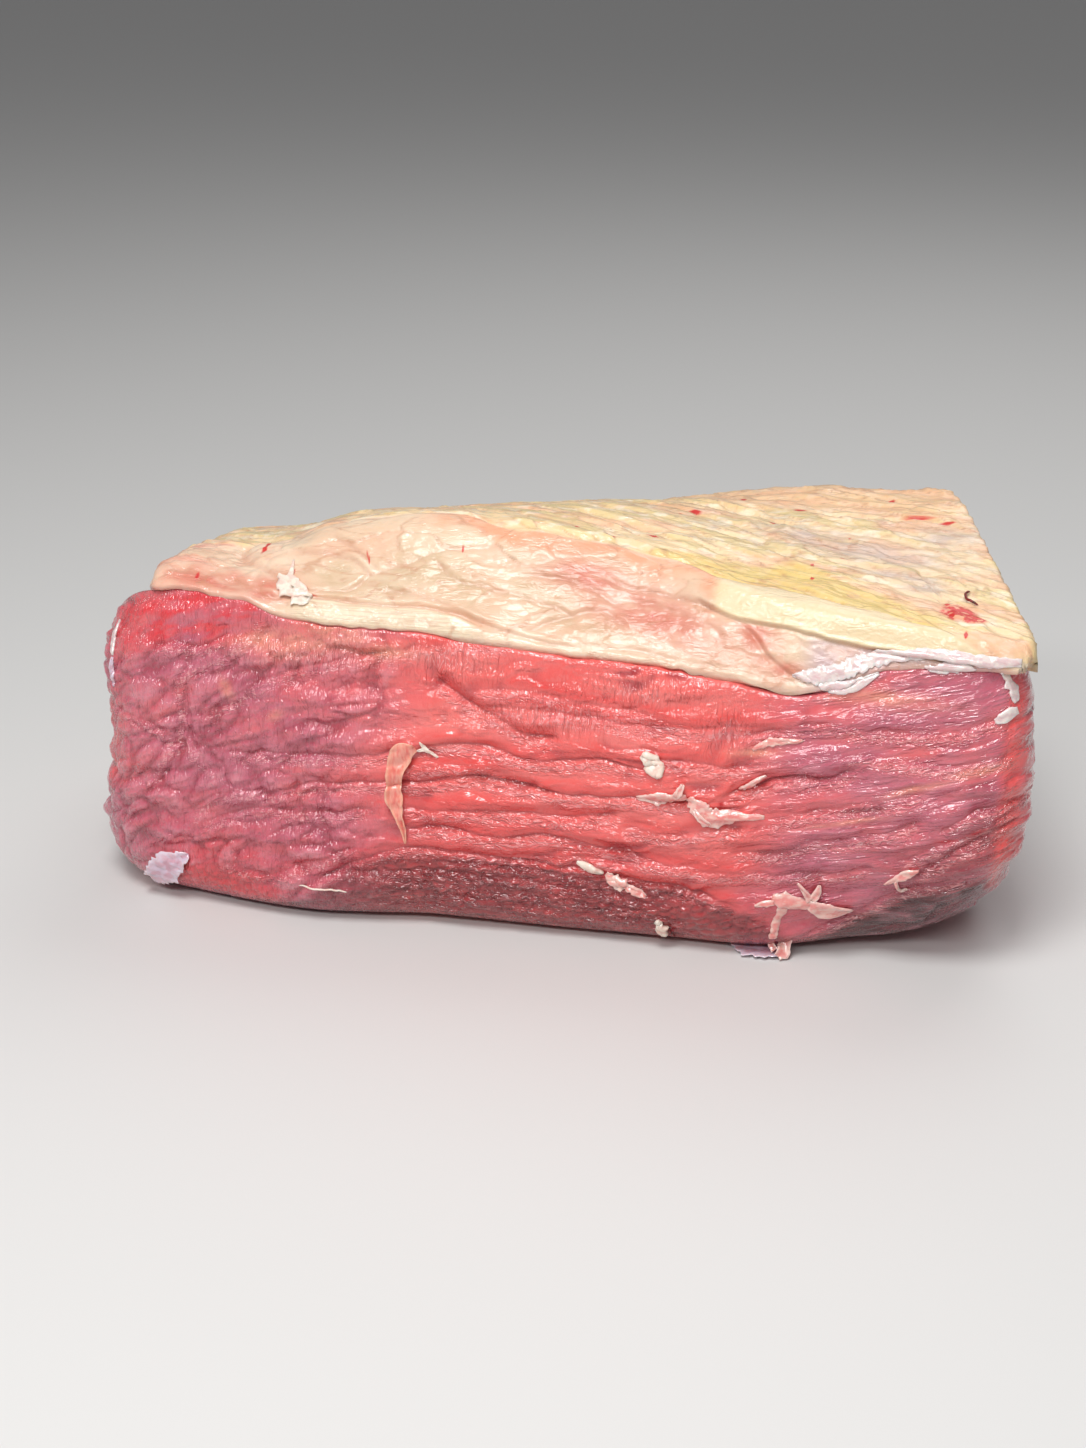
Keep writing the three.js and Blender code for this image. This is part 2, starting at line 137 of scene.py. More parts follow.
rim_radius = curve([(-118, 5), (20, 5), (52, 1.8), (134, 1.5)])  # the slab at the right has a sharp edge
front_foot = curve([
    (-132, -5), (-100, 1), (-60, 6), (-44, 4), (-25, 1), (0, 1), (40, 0), (68, -1), (90, -6), (110, -2),
])
print("the fat is", round(float(ridge_height(0) - seam_at_front(0)), 1), "mm high at the middle of the front")


# %% How far a point is outside each face
def seam(x, y):
    """Height of the seam between lean and fat, with a ragged line in front."""
    inside = ease((y - SEAM_FRONT_Y) / SEAM_EASE)
    long_waves = 0.35 * np.sin(x / 4.3 + 2 * np.sin(x / 13)) * np.sin(x / 17)
    short_waves = 0.15 * np.sin(x / 1.5 + 3 * np.sin(x / 7))
    return (seam_at_front(x) + long_waves + short_waves) * (1 - inside) + seam_inside(x) * inside


LEFT_FALL = 1.4  # how steeply the fat thins out at its left end, and how far its edge there slants back
CORNER_SLANT = 0.36


def fat_top(x, y):
    """Height of the fat's upper surface, behind its ridge."""
    setback = ridge_setback(x)
    t = (y - setback) / (BACK_Y - 10 - setback)
    arch = np.sin(np.pi * np.clip(t, 0, 1))
    return ridge_height(x) + (back_height(x) - ridge_height(x)) * t + crown(x) * arch


def left_slope(x, y):
    """Height of the slope that the fat thins out over at its left end."""
    return 98.5 + LEFT_FALL * (x + 107) - 12 * ease((y - SEAM_FRONT_Y) / 45)


def cut(x, y, z, on, facing):
    """How far a point is outside a flat cut through `on` that faces along `facing`."""
    a, b, c = np.array(facing) / np.linalg.norm(facing)
    return a * (x - on[0]) + b * (y - on[1]) + c * (z - on[2])


def sides(x, y, z, edge):
    """The front, the back and the two ends, with their upright edges rounded."""
    near_an_end = np.maximum(np.abs(x + 5) - 60, 0)
    foot = front_foot(x) * ease((WAIST_Z + 4 - z) / 40)
    front = FRONT_Y + 0.0026 * (z - WAIST_Z) ** 2 + 0.0006 * near_an_end ** 2 - foot - y
    back = y - BACK_Y + 0.0004 * (x - 10) ** 2 + 0.0025 * (z - WAIST_Z - 3) ** 2
    right = cut(x, y, z, (RIGHT_X, -35, 45), (1, RIGHT_SLANT, 0)) + 0.0018 * (z - WAIST_Z - 6) ** 2
    hollow = 3.5 * np.exp(-((z - 48) / 18) ** 2) - 3 * np.exp(-((z - 18) / 16) ** 2)
    left = cut(x, y, z, (LEFT_X, -35, 50), (-1, 0.03, -0.02)) + hollow
    return rounded(rounded(rounded(back, front, 10), right, edge), left, edge)


def lean_form(x, y, z):
    """The lean: negative inside, positive outside."""
    outside = sides(x, y, z, 22)
    outside = rounded(outside, cut(x, y, z, (105, -48, 8.5), (0.46, -0.36, -0.72)), 14)
    outside = rounded(outside, cut(x, y, z, (-119, -40, 84), (-0.66, -0.12, 0.74)), 14)
    outside = rounded(outside, -z, 12)
    return rounded(outside, z - seam(x, y), 0.8)


def fat_corner(y):
    """Where the fat's left edge is in front, before it reaches the left end of the joint."""
    return -105 - CORNER_SLANT * (y - FRONT_Y - 10)


def fat_form(x, y, z):
    """The cap of fat: negative inside, positive outside."""
    back = ridge_setback(x) - SEAM_FRONT_Y
    up = ridge_height(x) - seam_at_front(x)
    bevel = ((z - seam_at_front(x)) * back - (y - SEAM_FRONT_Y) * up) / np.hypot(back, up)
    outside = rounded(sides(x, y, z, 8), bevel, 3)
    outside = rounded(outside, z - fat_top(x, y), rim_radius(x))
    outside = rounded(outside, (z - left_slope(x, y)) / np.hypot(1, LEFT_FALL), 5)
    outside = rounded(outside, (fat_corner(y) - x) / np.hypot(1, CORNER_SLANT), 4)
    return rounded(outside, seam(x, y) - SEAM_OVERLAP - z, 0.6)


print("seam height at the middle of the front:", round(float(seam(0, FRONT_Y)), 1), "mm")


# %% [markdown]
# ## Settling a fine mesh onto a form
# A voxel remesh would give us a mesh of the form, but its grain is the same everywhere and its points have
# no order. We start from the skin of a box grid instead and let every point slide down the form's slope
# until it lies on the surface. A few steps do, because each is as long as the slope says that the surface
# is away. The rows then run along the joint, as the muscle does, and lie closer where the eye looks.

# %% The skin of a box grid
def box_skin(nx, ny, nz):
    """Grid places (i, j, k) of the points on a box's skin, and the quads between them, facing out."""
    i, j, k = np.meshgrid(np.arange(nx), np.arange(ny), np.arange(nz), indexing="ij")
    on_skin = (i % (nx - 1) == 0) | (j % (ny - 1) == 0) | (k % (nz - 1) == 0)
    number = np.full((nx, ny, nz), -1)
    number[on_skin] = np.arange(on_skin.sum())
    faces = [
        number[:, 0, :], number[:, -1, :].T, number[0].T, number[-1],
        number[:, :, 0].T, number[:, :, -1],
    ]
    quads = [
        np.stack([f[:-1, :-1], f[1:, :-1], f[1:, 1:], f[:-1, 1:]], -1).reshape(-1, 4) for f in faces
    ]
    return np.stack([i[on_skin], j[on_skin], k[on_skin]], 1), np.concatenate(quads)


def slope(form, points):
    """Which way, and how fast, a form's distance grows at each point."""
    h = 0.05
    steps = np.eye(3) * h
    return np.stack([(form(*(points + s).T) - form(*(points - s).T)) / (2 * h) for s in steps], 1)


def settle(form, points):
    """Moves each point onto the form's surface, by nearly the shortest way."""
    rounds, longest_step, gentlest_slope, near_enough = 12, 6, 0.15, 0.004
    points = points.copy()
    live = np.arange(len(points))
    for _ in range(rounds):
        away = form(*points[live].T)
        far = np.abs(away) > near_enough
        live, away = live[far], away[far]
        if not len(live):
            break
        s = slope(form, points[live])
        step = away / np.maximum((s * s).sum(1), gentlest_slope)
        points[live] -= s * np.clip(step, -longest_step, longest_step)[:, None]
    return points


def normals_of(form, points):
    """The direction that the surface faces at each point."""
    s = slope(form, points)
    return s / np.linalg.norm(s, axis=1)[:, None]


print("a grid of 3 x 3 x 3 has", len(box_skin(3, 3, 3)[0]), "points on its skin")

# %% [markdown]
# ## Noise that we can call from Python
# Muscle is uneven in two ways. It wobbles smoothly, for which we want a soft noise, and it breaks up into
# small cells with creases between them, for which we want the distance to scattered points. Blender's
# texture nodes have both, but we need the values on the mesh's points, so here are short versions of each.
# Both draw their numbers from a hash of the grid cell, so they come out the same in every run.

# %% Soft noise and scattered cells
def scattered(seed, *cell):
    """A repeatable number from 0 to 1 for each whole-number cell."""
    key = np.full(np.shape(cell[0]), 40503 * seed + 97, np.uint32)
    for axis in cell:
        key = (key ^ np.asarray(axis).astype(np.int64).astype(np.uint32)) * np.uint32(2654435761)
        key = key ^ (key >> np.uint32(15))
    key = key * np.uint32(2246822519)
    return ((key ^ (key >> np.uint32(13))) & np.uint32(0xFFFFFF)) / float(0x1000000)


def noise(seed, *at):
    """Smooth noise from -1 to 1 in as many dimensions as there are coordinates."""
    low = [np.floor(a).astype(np.int64) for a in at]
    blend = [ease(a - l) for a, l in zip(at, low)]
    total = 0
    for corner in np.ndindex(*(2,) * len(at)):
        weight = 1
        for c, b in zip(corner, blend):
            weight = weight * (b if c else 1 - b)
        total = total + weight * scattered(seed, *[l + c for l, c in zip(low, corner)])
    return 2 * total - 1


def layered(seed, *at, octaves=3):
    """Several sizes of noise, each half as large and half as strong as the one before."""
    total = sum(0.5 ** n * noise(seed + n, *[a * 2 ** n for a in at]) for n in range(octaves))
    return total / (2 - 0.5 ** (octaves - 1))


def cells(seed, u, v, jitter=0.8):
    """How far each place is inside its cell, 0 at the creases between cells, and the cell's own number."""
    iu, iv = np.floor(u), np.floor(v)
    nearest = np.full(np.shape(u), 9.0)
    second = nearest.copy()
    own = np.zeros(np.shape(u))
    for du in (-1, 0, 1):
        for dv in (-1, 0, 1):
            cu, cv = iu + du, iv + dv
            pu = cu + 0.5 + jitter * (scattered(seed, cu, cv) - 0.5)
            pv = cv + 0.5 + jitter * (scattered(seed + 1, cu, cv) - 0.5)
            away = np.hypot(u - pu, v - pv)
            own = np.where(away < nearest, scattered(seed + 2, cu, cv), own)
            second = np.minimum(np.maximum(away, nearest), second)
            nearest = np.minimum(away, nearest)
    return second - nearest, own


print("noise at four places:", noise(1, np.arange(4) / 3 + 0.5).round(2))

# %% [markdown]
# ## Creases
# The front of the joint is a stack of muscle bundles, like rolls laid on top of each other. What makes them
# read as rolls is that the crease between two is lopsided: the upper roll curls in steeply, with a small
# lip, and the lower one comes out slowly. A symmetrical groove looks like a scratch. So a crease here is a
# line with its own profile on either side. It also tells the material where its two sides are. The material
# paints shade in the crease and on the upper roll's downward side, and paints paler light on the lower
# roll's upward side.

# %% One crease
def beside(line, u, v):
    """Signed distance from a line that runs along u, and how far between its ends a place is, 0 to 1."""
    us = np.array(line, float)[:, 0]
    at = curve(line)
    tilt = at(u + 0.5) - at(u - 0.5)
    fade = 5.0
    between = ease((u - us[0]) / fade + 0.5) * ease((us[-1] - u) / fade + 0.5)
    return (v - at(u)) / np.hypot(1, tilt), between


def crease(deep, *line, quick=2.0, slow=3.6, sharp=0.4, lip=0.15, dark=1, upright=False):
    """A crease through (u, v) points, or (v, u) points if it is upright.

    `quick` and `slow` say how far its upper and lower sides reach, `sharp` is the share of its depth in the
    narrow core, `lip` the rise above it, and `dark` how strongly the shade painted in it shows."""
    return {
        "deep": deep, "line": line, "quick": quick, "slow": slow, "sharp": sharp, "lip": lip, "dark": dark,
        "upright": upright,
    }


def bell(distance, width):
    """1 at no distance, and falling off smoothly over a width."""
    return np.exp(-(distance / width) ** 2)


print("a plain crease:", crease(1.0, (-20, 0), (20, 0)))


# %% Pressing creases into a surface
# DARK_WIDTH is how wide the line of painted shade in each crease is.
CORE_WIDTH, DARK_WIDTH, BROW_WIDTH, BROW_HEIGHT = 0.55, 0.42, 0.5, 0.22


def press_creases(creases, u, v, wander=1.0):
    """Height of the creases at each place, with masks for the shade painted in each crease, for the shade
    painted on its upper side, which faces down, and for the light painted on its lower side, which faces up.
    """
    wobble = wander * (layered(31, u / 10, v / 14, octaves=2) + 0.3 * noise(34, u / 3.6, v / 7))
    height, line, above, below = (np.zeros(len(u)) for _ in range(4))
    for number, c in enumerate(creases):
        deep, quick, slow, sharp = c["deep"], c["quick"], c["slow"], c["sharp"]
        a, b = (v, u) if c["upright"] else (u, v)
        away, between = beside(c["line"], a, b + wobble)
        uneven = 0.8 + 0.4 * noise(36 + number, a / 6, 0.5 * np.ones(len(a)))
        shoulder = np.where(away > 0, bell(away, quick), np.exp(-(np.abs(away) / slow) ** 1.3))
        profile = c["lip"] * bell(away - 1.5 * quick, quick) - sharp * bell(away, CORE_WIDTH)
        height = height + deep * between * uneven * (profile - (1 - sharp) * shoulder)
        brow = BROW_HEIGHT * bell(away + 1.0 + 0.5 * noise(80 + number, a / 2.6, b / 9), BROW_WIDTH)
        height = height + brow * between * min(1, 0.7 * deep) * (0.6 + noise(120 + number, a / 3.4, b / 9))
        # seen: how strongly shade is painted in the crease's line, darker where the crease is deeper.
        seen = between * uneven * min(1, 0.55 * deep) * c["dark"]
        line = np.maximum(line, seen * bell(away - 0.15, DARK_WIDTH))
        # above: where shade is painted on the upper roll's downward side; below: where light is painted on
        # the lower roll's upward side, which also carries the fine wrinkles.
        above = np.maximum(above, between * bell(away - 1.8, 1.8))
        below = np.maximum(below, between * bell(away + 2.0, 1.9))
    return height, line, above, below


trial = press_creases([crease(1.0, (-20, 0), (20, 0))], np.zeros(5), np.linspace(-4, 4, 5))[0]
print("a crease 1 mm deep, from below it to above it:", trial.round(2))

# %% [markdown]
# The creases of the front face are listed one by one, each through a few (x, z) points from left to right.
# The deep ones part the large bundles, and the shallow ones are the wrinkles between.

# %% The creases of the lean's front face
LEAN_CREASES = [
    # the middle of the front, from the top down
    crease(0.6, (-50, 78), (-33, 81), (-15, 83.4), (-4, 84.5)),
    crease(0.7, (-14, 71), (0, 72), (14, 70), (30, 69), (44, 67)),
    crease(2.5, (-24, 73.5), (-18, 69.3), (-7.4, 63.7), (0.5, 60.8), (9, 60), quick=2.4, sharp=0.3,
           dark=0.7),
    crease(1.0, (-16, 66), (0, 67.2), (16, 66.3), (33, 65.5), (48, 66.5), (62, 68.5)),
    crease(1.7, (-28, 54.5), (-16, 56), (0, 54), (8, 53.7), (22, 55.6), (34, 53.8)),
    crease(0.9, (33, 56), (44, 57.5), (56, 56.5), (63, 60)),
    crease(0.6, (-33, 47.7), (-23, 49.2), (-14, 49.6), (-4, 49)),
    crease(2.4, (-36, 43.2), (-23, 45.1), (-15, 46.2), (0, 45.7), (9, 44.8), (22, 44.9), (46, 46)),
    crease(1.3, (-32, 37.3), (-25, 36.7), (-16, 37), (0.6, 37.9), (9, 38.1), (26, 40)),
    crease(1.7, (-31, 31), (-22, 31.9), (-15, 31.1), (-7, 30.4), (9, 32.5), (22, 29.9), (31, 29)),
    crease(1.0, (-8, 24.9), (10.6, 26.3), (20, 26.9), (28, 25.5)),
    crease(1.7, (-58, 12.5), (-40, 22.6), (-32, 25), (-12, 24.2), (17, 22.6), (39, 20.6), (58, 17)),
    crease(0.8, (-42, 12), (-20, 11), (0, 9), (24, 8.5), (50, 6)),
    crease(0.7, (-50, 16), (-30, 18.4), (-8, 18), (16, 17), (34, 15), quick=0.9, slow=1.4),
    crease(0.6, (-36, 15.4), (-16, 14.4), (6, 13), (26, 12.4), (44, 10), quick=0.8, slow=1.3),
    crease(0.6, (-60, 8), (-40, 7.6), (-14, 6.4), (12, 5.4), (34, 4.6), quick=0.8, slow=1.3),
    crease(0.6, (-22, 21.4), (-4, 21.6), (14, 20), (30, 18.4), quick=0.8, slow=1.2),
    crease(0.9, (28, 37), (40, 36), (50, 38), (60, 40)),
    crease(0.8, (26, 30), (40, 27), (54, 26), (66, 27)),
    # the right, where the bundles rise
    crease(2.3, (55, 48.5), (58, 50.5), (63, 52), (67, 54.1), (73, 55.2), (79, 55.4), (88, 58.5)),
    crease(1.0, (60, 66), (74, 69), (92, 69.5), (112, 70.5), (124, 74)),
    crease(0.9, (84, 62), (98, 62.6), (114, 61.5), (127, 64)),
    crease(1.3, (57, 32), (68, 32.9), (77, 36.6), (86, 38.6), (95, 41.5), (105, 45.6)),
    crease(1.0, (62, 26), (72, 26.8), (82, 27.4), (92, 31)),
    crease(0.8, (66, 43), (78, 46.5), (92, 49.5), (106, 54)),
    crease(1.3, (110, 43.5), (118.6, 48.7), (127, 51.4), (133, 53.5)),
    crease(1.5, (104, 28.6), (110.4, 34.6), (119, 40.1), (130, 46.5)),
    crease(0.8, (100, 34), (110, 39), (120, 44), (130, 49.5)),
    crease(1.0, (72, 5), (84, 11.4), (97, 21), (103, 24.8), (111, 27.6), (118, 29)),
    # the left, whose bundles fan out from the lower left
    crease(1.0, (-89, 58), (-79, 64.7), (-68, 70.8), (-54, 75.8), (-40, 79.4)),
    crease(1.3, (-103, 77), (-96.6, 78), (-90, 77.4), (-82, 81)),
    crease(1.6, (-82, 48.2), (-71, 48.7), (-61, 49.3), (-42, 51.1), (-34, 53)),
    crease(1.5, (-74, 36), (-64, 39.3), (-58.8, 41.1), (-48, 42.7), (-36, 43.6)),
    crease(1.0, (-94, 29.5), (-88.8, 33.9), (-80.8, 36.5), (-72, 38)),
    crease(1.1, (-91, 26.5), (-81.2, 30), (-73.8, 32.6), (-59, 32.9), (-42.5, 35.5)),
    crease(1.0, (-122, 56), (-112, 55), (-103, 52.5), (-96, 48)),
    crease(1.2, (-86, 16), (-72, 14), (-60, 18), (-46, 24)),
    crease(1.7, (34, -106), (44, -98), (53, -94), (66, -92), (71, -83), (77, -76), (86, -70), upright=True,
           quick=2.6, slow=3.2, dark=0.3, lip=0.1),
    crease(1.2, (40, -86), (46, -91), (53, -96), upright=True, quick=2.4, dark=0.2),
]
print(len(LEAN_CREASES), "creases on the lean's front")


# %% [markdown]
# ## The parts of the lean
# Each part of the front has its own grain and its own colour. The left is cobbled and mauve, the middle has
# smooth salmon rolls, the right has fine ridges, and a band of small bricks runs along the foot, browner than
# the rest and darkened further with painted shade, as it faces down. We could paint these as vertex colours
# by hand. Soft ovals and lines with numbers are easier to move when the photo says so, and one mask then
# serves the shape and the colour alike. The grain follows the muscle, which rises towards both ends, so a
# line tells how far it has risen at each x.

# %% Lines between the parts
grain_rise = curve([
    (-125, -26), (-95, -14), (-75, -7.5), (-40, -1), (-10, 0), (40, 0), (60, 3), (85, 8), (105, 12),
    (131, 18),
])
band_top = curve([
    (-100, 3), (-62, 8), (-54, 14), (-40, 22.5), (-12, 24.4), (17, 23), (40, 21), (62, 15), (76, 6), (90, 2),
])
underside_top = curve([(60, 0), (73, 5.5), (84, 11.4), (97, 21), (103, 24.8), (111, 27.6), (125, 31)])
lobe_edge = curve([(66, -97), (71, -84), (77, -77.5), (83, -71), (92, -69)])


def patch(u, v, middle, reach, turned=0.0):
    """A soft oval patch, 1 in the middle and 0 well outside its reach."""
    a, b = u - middle[0], v - middle[1]
    c, s = np.cos(np.radians(turned)), np.sin(np.radians(turned))
    return np.exp(-(((a * c + b * s) / reach[0]) ** 2 + ((b * c - a * s) / reach[1]) ** 2))


def patches(u, v, *ovals):
    """Several soft patches, each (middle, reach) or (middle, reach, turned)."""
    return np.max([patch(u, v, *oval) for oval in ovals], axis=0)


print("the grain rises by", grain_rise(np.array([-125, 0, 131])), "mm at the left, middle and right")


# %% Small patches of the lean
TICKED_PATCHES = [
    ((-58, 77), (26, 7), 4), ((-20, 78), (20, 6)), ((8, 66), (26, 6)), ((30, 74), (20, 5)),
    ((54, 66), (9, 9)),
]
FILM_PATCHES = [
    ((-52, 84), (13, 5), -16), ((-62, 80), (14, 4), 8), ((-72, 80), (9, 3), 12), ((-38, 80), (10, 2.6)),
    ((-68, 60), (2.2, 1.2), 30), ((-82, 66), (1.6, 3), 30), ((62, 61), (6, 1.2), 6),
    ((90, 78), (18, 2.2), -4), ((118, 60), (7, 1.2), 12), ((104, 55), (8, 1), 20), ((86, 44), (9, 0.7), 14),
]
LEAN_BLOOD = [
    ((112, 40.6), (3, 0.5), 8), ((119.6, 43.6), (2.6, 0.6), 20), ((104, 32), (2, 0.5), 14),
    ((22.4, 22.4), (2.6, 1.3), -20), ((53.6, 46), (0.7, 0.9)), ((29.6, 76), (0.35, 1.8), -14),
    ((29.2, 79.4), (0.9, 0.6)),
]
DARK_AT_LOWER_RIGHT = [((113, 32), (16, 8), 26), ((123, 40), (10, 9), 30)]


def lean_regions(s, x, z, front):
    """How much a place belongs to each part of the lean, all from 0 to 1."""
    wobble = 9 * layered(51, s / 24, z / 16)
    left = ease((-24 - s + wobble + 0.15 * (z - 40)) / 34)
    right = ease((s - 52 + wobble) / 28)
    rim = bell(z - 8 - 2 * np.sin(x / 9), 5.5) * ease((-60 - x) / 14) * ease((x + 112) / 12)
    return {
        "left": left, "right": right, "middle": np.clip(front - left - right, 0, 1), "turned_away": 1 - front,
        "lobe": ease((lobe_edge(z) - x) / 5) * ease((z - 70 - 0.15 * (x + 110)) / 9) * front,
        # band: the bricked strip along the foot, browner, and also darker as painted shade because it faces
        # down
        "band": ease((band_top(x) - z + 0.25 * wobble) / 4) * front * ease((x + 100) / 20),
        "rim": rim * front,
        # painted shadow on the lean's underside at the lower right, which faces the floor
        "underside_shadow": ease((underside_top(x) - z) / 5) * ease((x - 62) / 10) * front,
        # low: painted shade, darker and redder towards the foot
        "low": ease((48 - z) / 32) * front,
        "low_right": patches(x, z, *DARK_AT_LOWER_RIGHT) * front,
        "salmon_edge": ease((x - 122 - 0.2 * wobble) / 4) * front,
        "ticks": patches(x, z, *TICKED_PATCHES) * front,
        "film": patches(x, z, *FILM_PATCHES) * front,
        "blood": patches(x, z, *LEAN_BLOOD) * front,
    }


print(len(TICKED_PATCHES) + len(FILM_PATCHES) + len(LEAN_BLOOD), "small patches on the lean")


# %% [markdown]
# ## The lean's relief
# Wet muscle is never flat. Under everything run long bellies, about 10 mm high. On them the left is cobbled,
# with cells of about 10 by 6 mm and smaller ones between; the band along the foot is covered in small
# bricks; the right has fine ridges. A displacement texture could do this, but each part needs its own
# pattern, turned along the muscle. So we work the heights out from the noise above, in coordinates along
# and across the grain.

# %% Long bellies and domes
BELLY_HEIGHT = 10.5


def bellies(x, y, z):
    """Long bellies of muscle that run along the joint, wander up and down, and come and go."""
    wander = 3 * np.sin(x / 29) + 1.8 * np.sin(x / 13 + 1.3) + 0.08 * x
    strength = 0.35 + 0.35 * np.sin(x / 21 + z / 9 + y / 17)
    lumps = 0.6 * np.sin(x / 13 + 0.7 * np.sin(z / 11)) * np.sin(z / 12 + y / 16 + 0.9)
    return strength * np.sin((z - wander) * 2 * np.pi / BELLY_HEIGHT + y / 15) + lumps


def dome(inside, full):
    """A rounded top over a cell, from -0.5 in its crease to 0.5 in its middle."""
    return 0.5 - (1 - np.clip(inside / full, 0, 1)) ** 2


print("belly height at three places:", bellies(np.array([-60, 0, 60]), -50.0, 40.0).round(2), "mm")


# %% Small relief, part by part
COBBLE_HEIGHT, BUCKLE_HEIGHT, BRICK_HEIGHT = 1.05, 0.22, 0.9
RIDGE_HEIGHT, FOLD_HEIGHT, TICK_HEIGHT = 0.32, 0.4, 0.12


def small_relief(along, across, where):
    """The small relief of each part, in millimetres."""
    bend, bend_2 = (layered(seed, along / 13, across / 9, octaves=2) for seed in (61, 62))
    inside, own = cells(63, along / 10.5 + 0.6 * bend, across / 6.2 + 0.8 * bend_2)
    inside_middle, _ = cells(64, along / 4.4 + 0.8 * bend_2, across / 2.9 + 0.9 * bend)
    cobbles = 1.3 * dome(inside, 1.0) + 0.45 * dome(inside_middle, 1.0)
    cobbles = cobbles + 0.5 * (own - 0.5) * ease(inside / 0.4)
    inside_small, own_small = cells(66, along / 3.6 + 0.4 * bend, across / 2.1 + 0.3 * bend_2)
    bricks = dome(inside_small, 0.9) + 0.5 * (own_small - 0.5)
    ridges = 1 - 2.6 * np.abs(noise(69, along / 17 + 0.6 * bend, across / 2.2 + 1.0 * bend_2))
    folds = 1 - 2.6 * np.abs(noise(70, along / 12 + bend, across / 3.0 + 1.6 * bend_2))
    buckles = noise(72, along / 3.2 + 0.6 * bend, across / 7 + bend)
    ticks = noise(73, along / 1.3 + 0.4 * bend, across / 7)
    uneven = 0.75 + 0.5 * noise(75, along / 14, across / 10)

    left = where["left"] * (1 - 0.8 * where["lobe"]) * (1 - where["rim"])
    cobbled = np.clip(left + 0.3 * where["turned_away"], 0, 1)
    open_face = 1 - where["band"]
    height = (COBBLE_HEIGHT * cobbles * cobbled * uneven + BUCKLE_HEIGHT * buckles) * open_face
    height = height + BRICK_HEIGHT * bricks * np.clip(where["band"] + 0.8 * where["rim"], 0, 1)
    height = height + RIDGE_HEIGHT * ridges * uneven * (where["right"] + 0.5 * where["turned_away"])
    height = height + FOLD_HEIGHT * folds * uneven * where["middle"] * open_face
    return height + TICK_HEIGHT * ticks * where["ticks"]


print("the cobbles rise about", round(1.75 * COBBLE_HEIGHT, 1), "mm from crease to crest")

# %% [markdown]
# ## Building the lean
# Now the pieces come together: settle the grid, work out where each point is along the grain, add the
# relief along the form's own normal, and keep every mask on the mesh as an attribute. The material reads
# those attributes, so colour and shape agree: shade is painted into a crease exactly where it is deep.

# %% Meshes with masks on their points
def make_mesh(name, points, quads, ends=()):
    """A smooth-shaded mesh object from points in the drawing frame, with any faces that close its ends."""
    mesh = bpy.data.meshes.new(name)
    mesh.from_pydata(in_part_frame(points).tolist(), [], np.asarray(quads).tolist() + list(ends))
    mesh.shade_smooth()
    piece = bpy.data.objects.new(name, mesh)
    bpy.context.scene.collection.objects.link(piece)
    return piece


def keep_mask(piece, name, values):
    """One number for each point of the mesh, for the material to read."""
    attribute = piece.data.attributes.new(name, "FLOAT", "POINT")
    attribute.data.foreach_set("value", np.asarray(values, np.float32))


def keep_grain(piece, grain, domain="POINT"):
    """Where each point, or each corner, is along, across and through the grain, in millimetres."""
    attribute = piece.data.attributes.new("grain", "FLOAT_VECTOR", domain)
    attribute.data.foreach_set("vector", grain.astype(np.float32).ravel())


def by_corner(quads, grain):
    """The grain at each quad's corners, so that it may jump at the back, where its two ends meet."""
    corners = grain[quads]
    first = corners[..., 0].argmin(1)[:, None, None]
    lowest = np.take_along_axis(corners, first, 1)
    jumps = corners[..., :1] - lowest[..., :1] > 200
    return np.where(jumps, lowest, corners)


def spaced(*stretches):
    """Rows at even steps along stretches of (from, to, count), each starting where the last one ends."""
    rows = [np.linspace(a, b, count, endpoint=False) for a, b, count in stretches]
    return np.append(np.concatenate(rows), stretches[-1][1])


print("rows in two stretches:", spaced((0, 1, 4), (1, 3, 2)))


# %% [markdown]
# ### Along the grain, all the way round
# The fibres run round the joint like a belt, so the noise should too. If the grain's first number were simply
# x, the patterns would smear on both ends, where x hardly changes. Instead it goes on counting round each
# corner. Its two ends meet at the back left corner, where the small relief fades out.

# %% Settle the lean's grid and press its relief
def near_right(y):
    """Just inside the right end, where a settled mesh starts."""
    return RIGHT_X - 5 - RIGHT_SLANT * np.maximum(y + 35, 0)


def around(i, j, rows_x, rows_y, x, y):
    """How far round the four sides each point is: x on the front, then on round each corner."""
    front_right = near_right(-55.0)
    round_right = front_right + y + 55
    round_back = front_right + 110 + near_right(55.0) - x
    round_left = NEAR_LEFT - y - 55
    s = np.where(i == rows_x - 1, round_right, x)
    s = np.where((j == rows_y - 1) & (i < rows_x - 1), round_back, s)
    return np.where((i == 0) & (j < rows_y - 1), round_left, s)


def lean_grid():
    """The starting points of the lean, closer in front, how far round the joint they are, and its quads."""
    shares = spaced((0, 1, 470))
    depths = spaced((-55, -40, 18), (-40, 40, 56), (40, 55, 12))
    heights = spaced((2, 84, 160))
    grid, quads = box_skin(len(shares), len(depths), len(heights))
    i, j, k = grid.T
    y = depths[j]
    x = NEAR_LEFT + shares[i] * (near_right(y) - NEAR_LEFT)
    z = heights[k]
    middle, top = 40, heights[-1]
    z = np.where(z > middle, middle + (z - middle) / (top - middle) * (seam(x, y) - middle), z)
    return np.stack([x, y, z], 1), around(i, j, len(shares), len(depths), x, y), quads


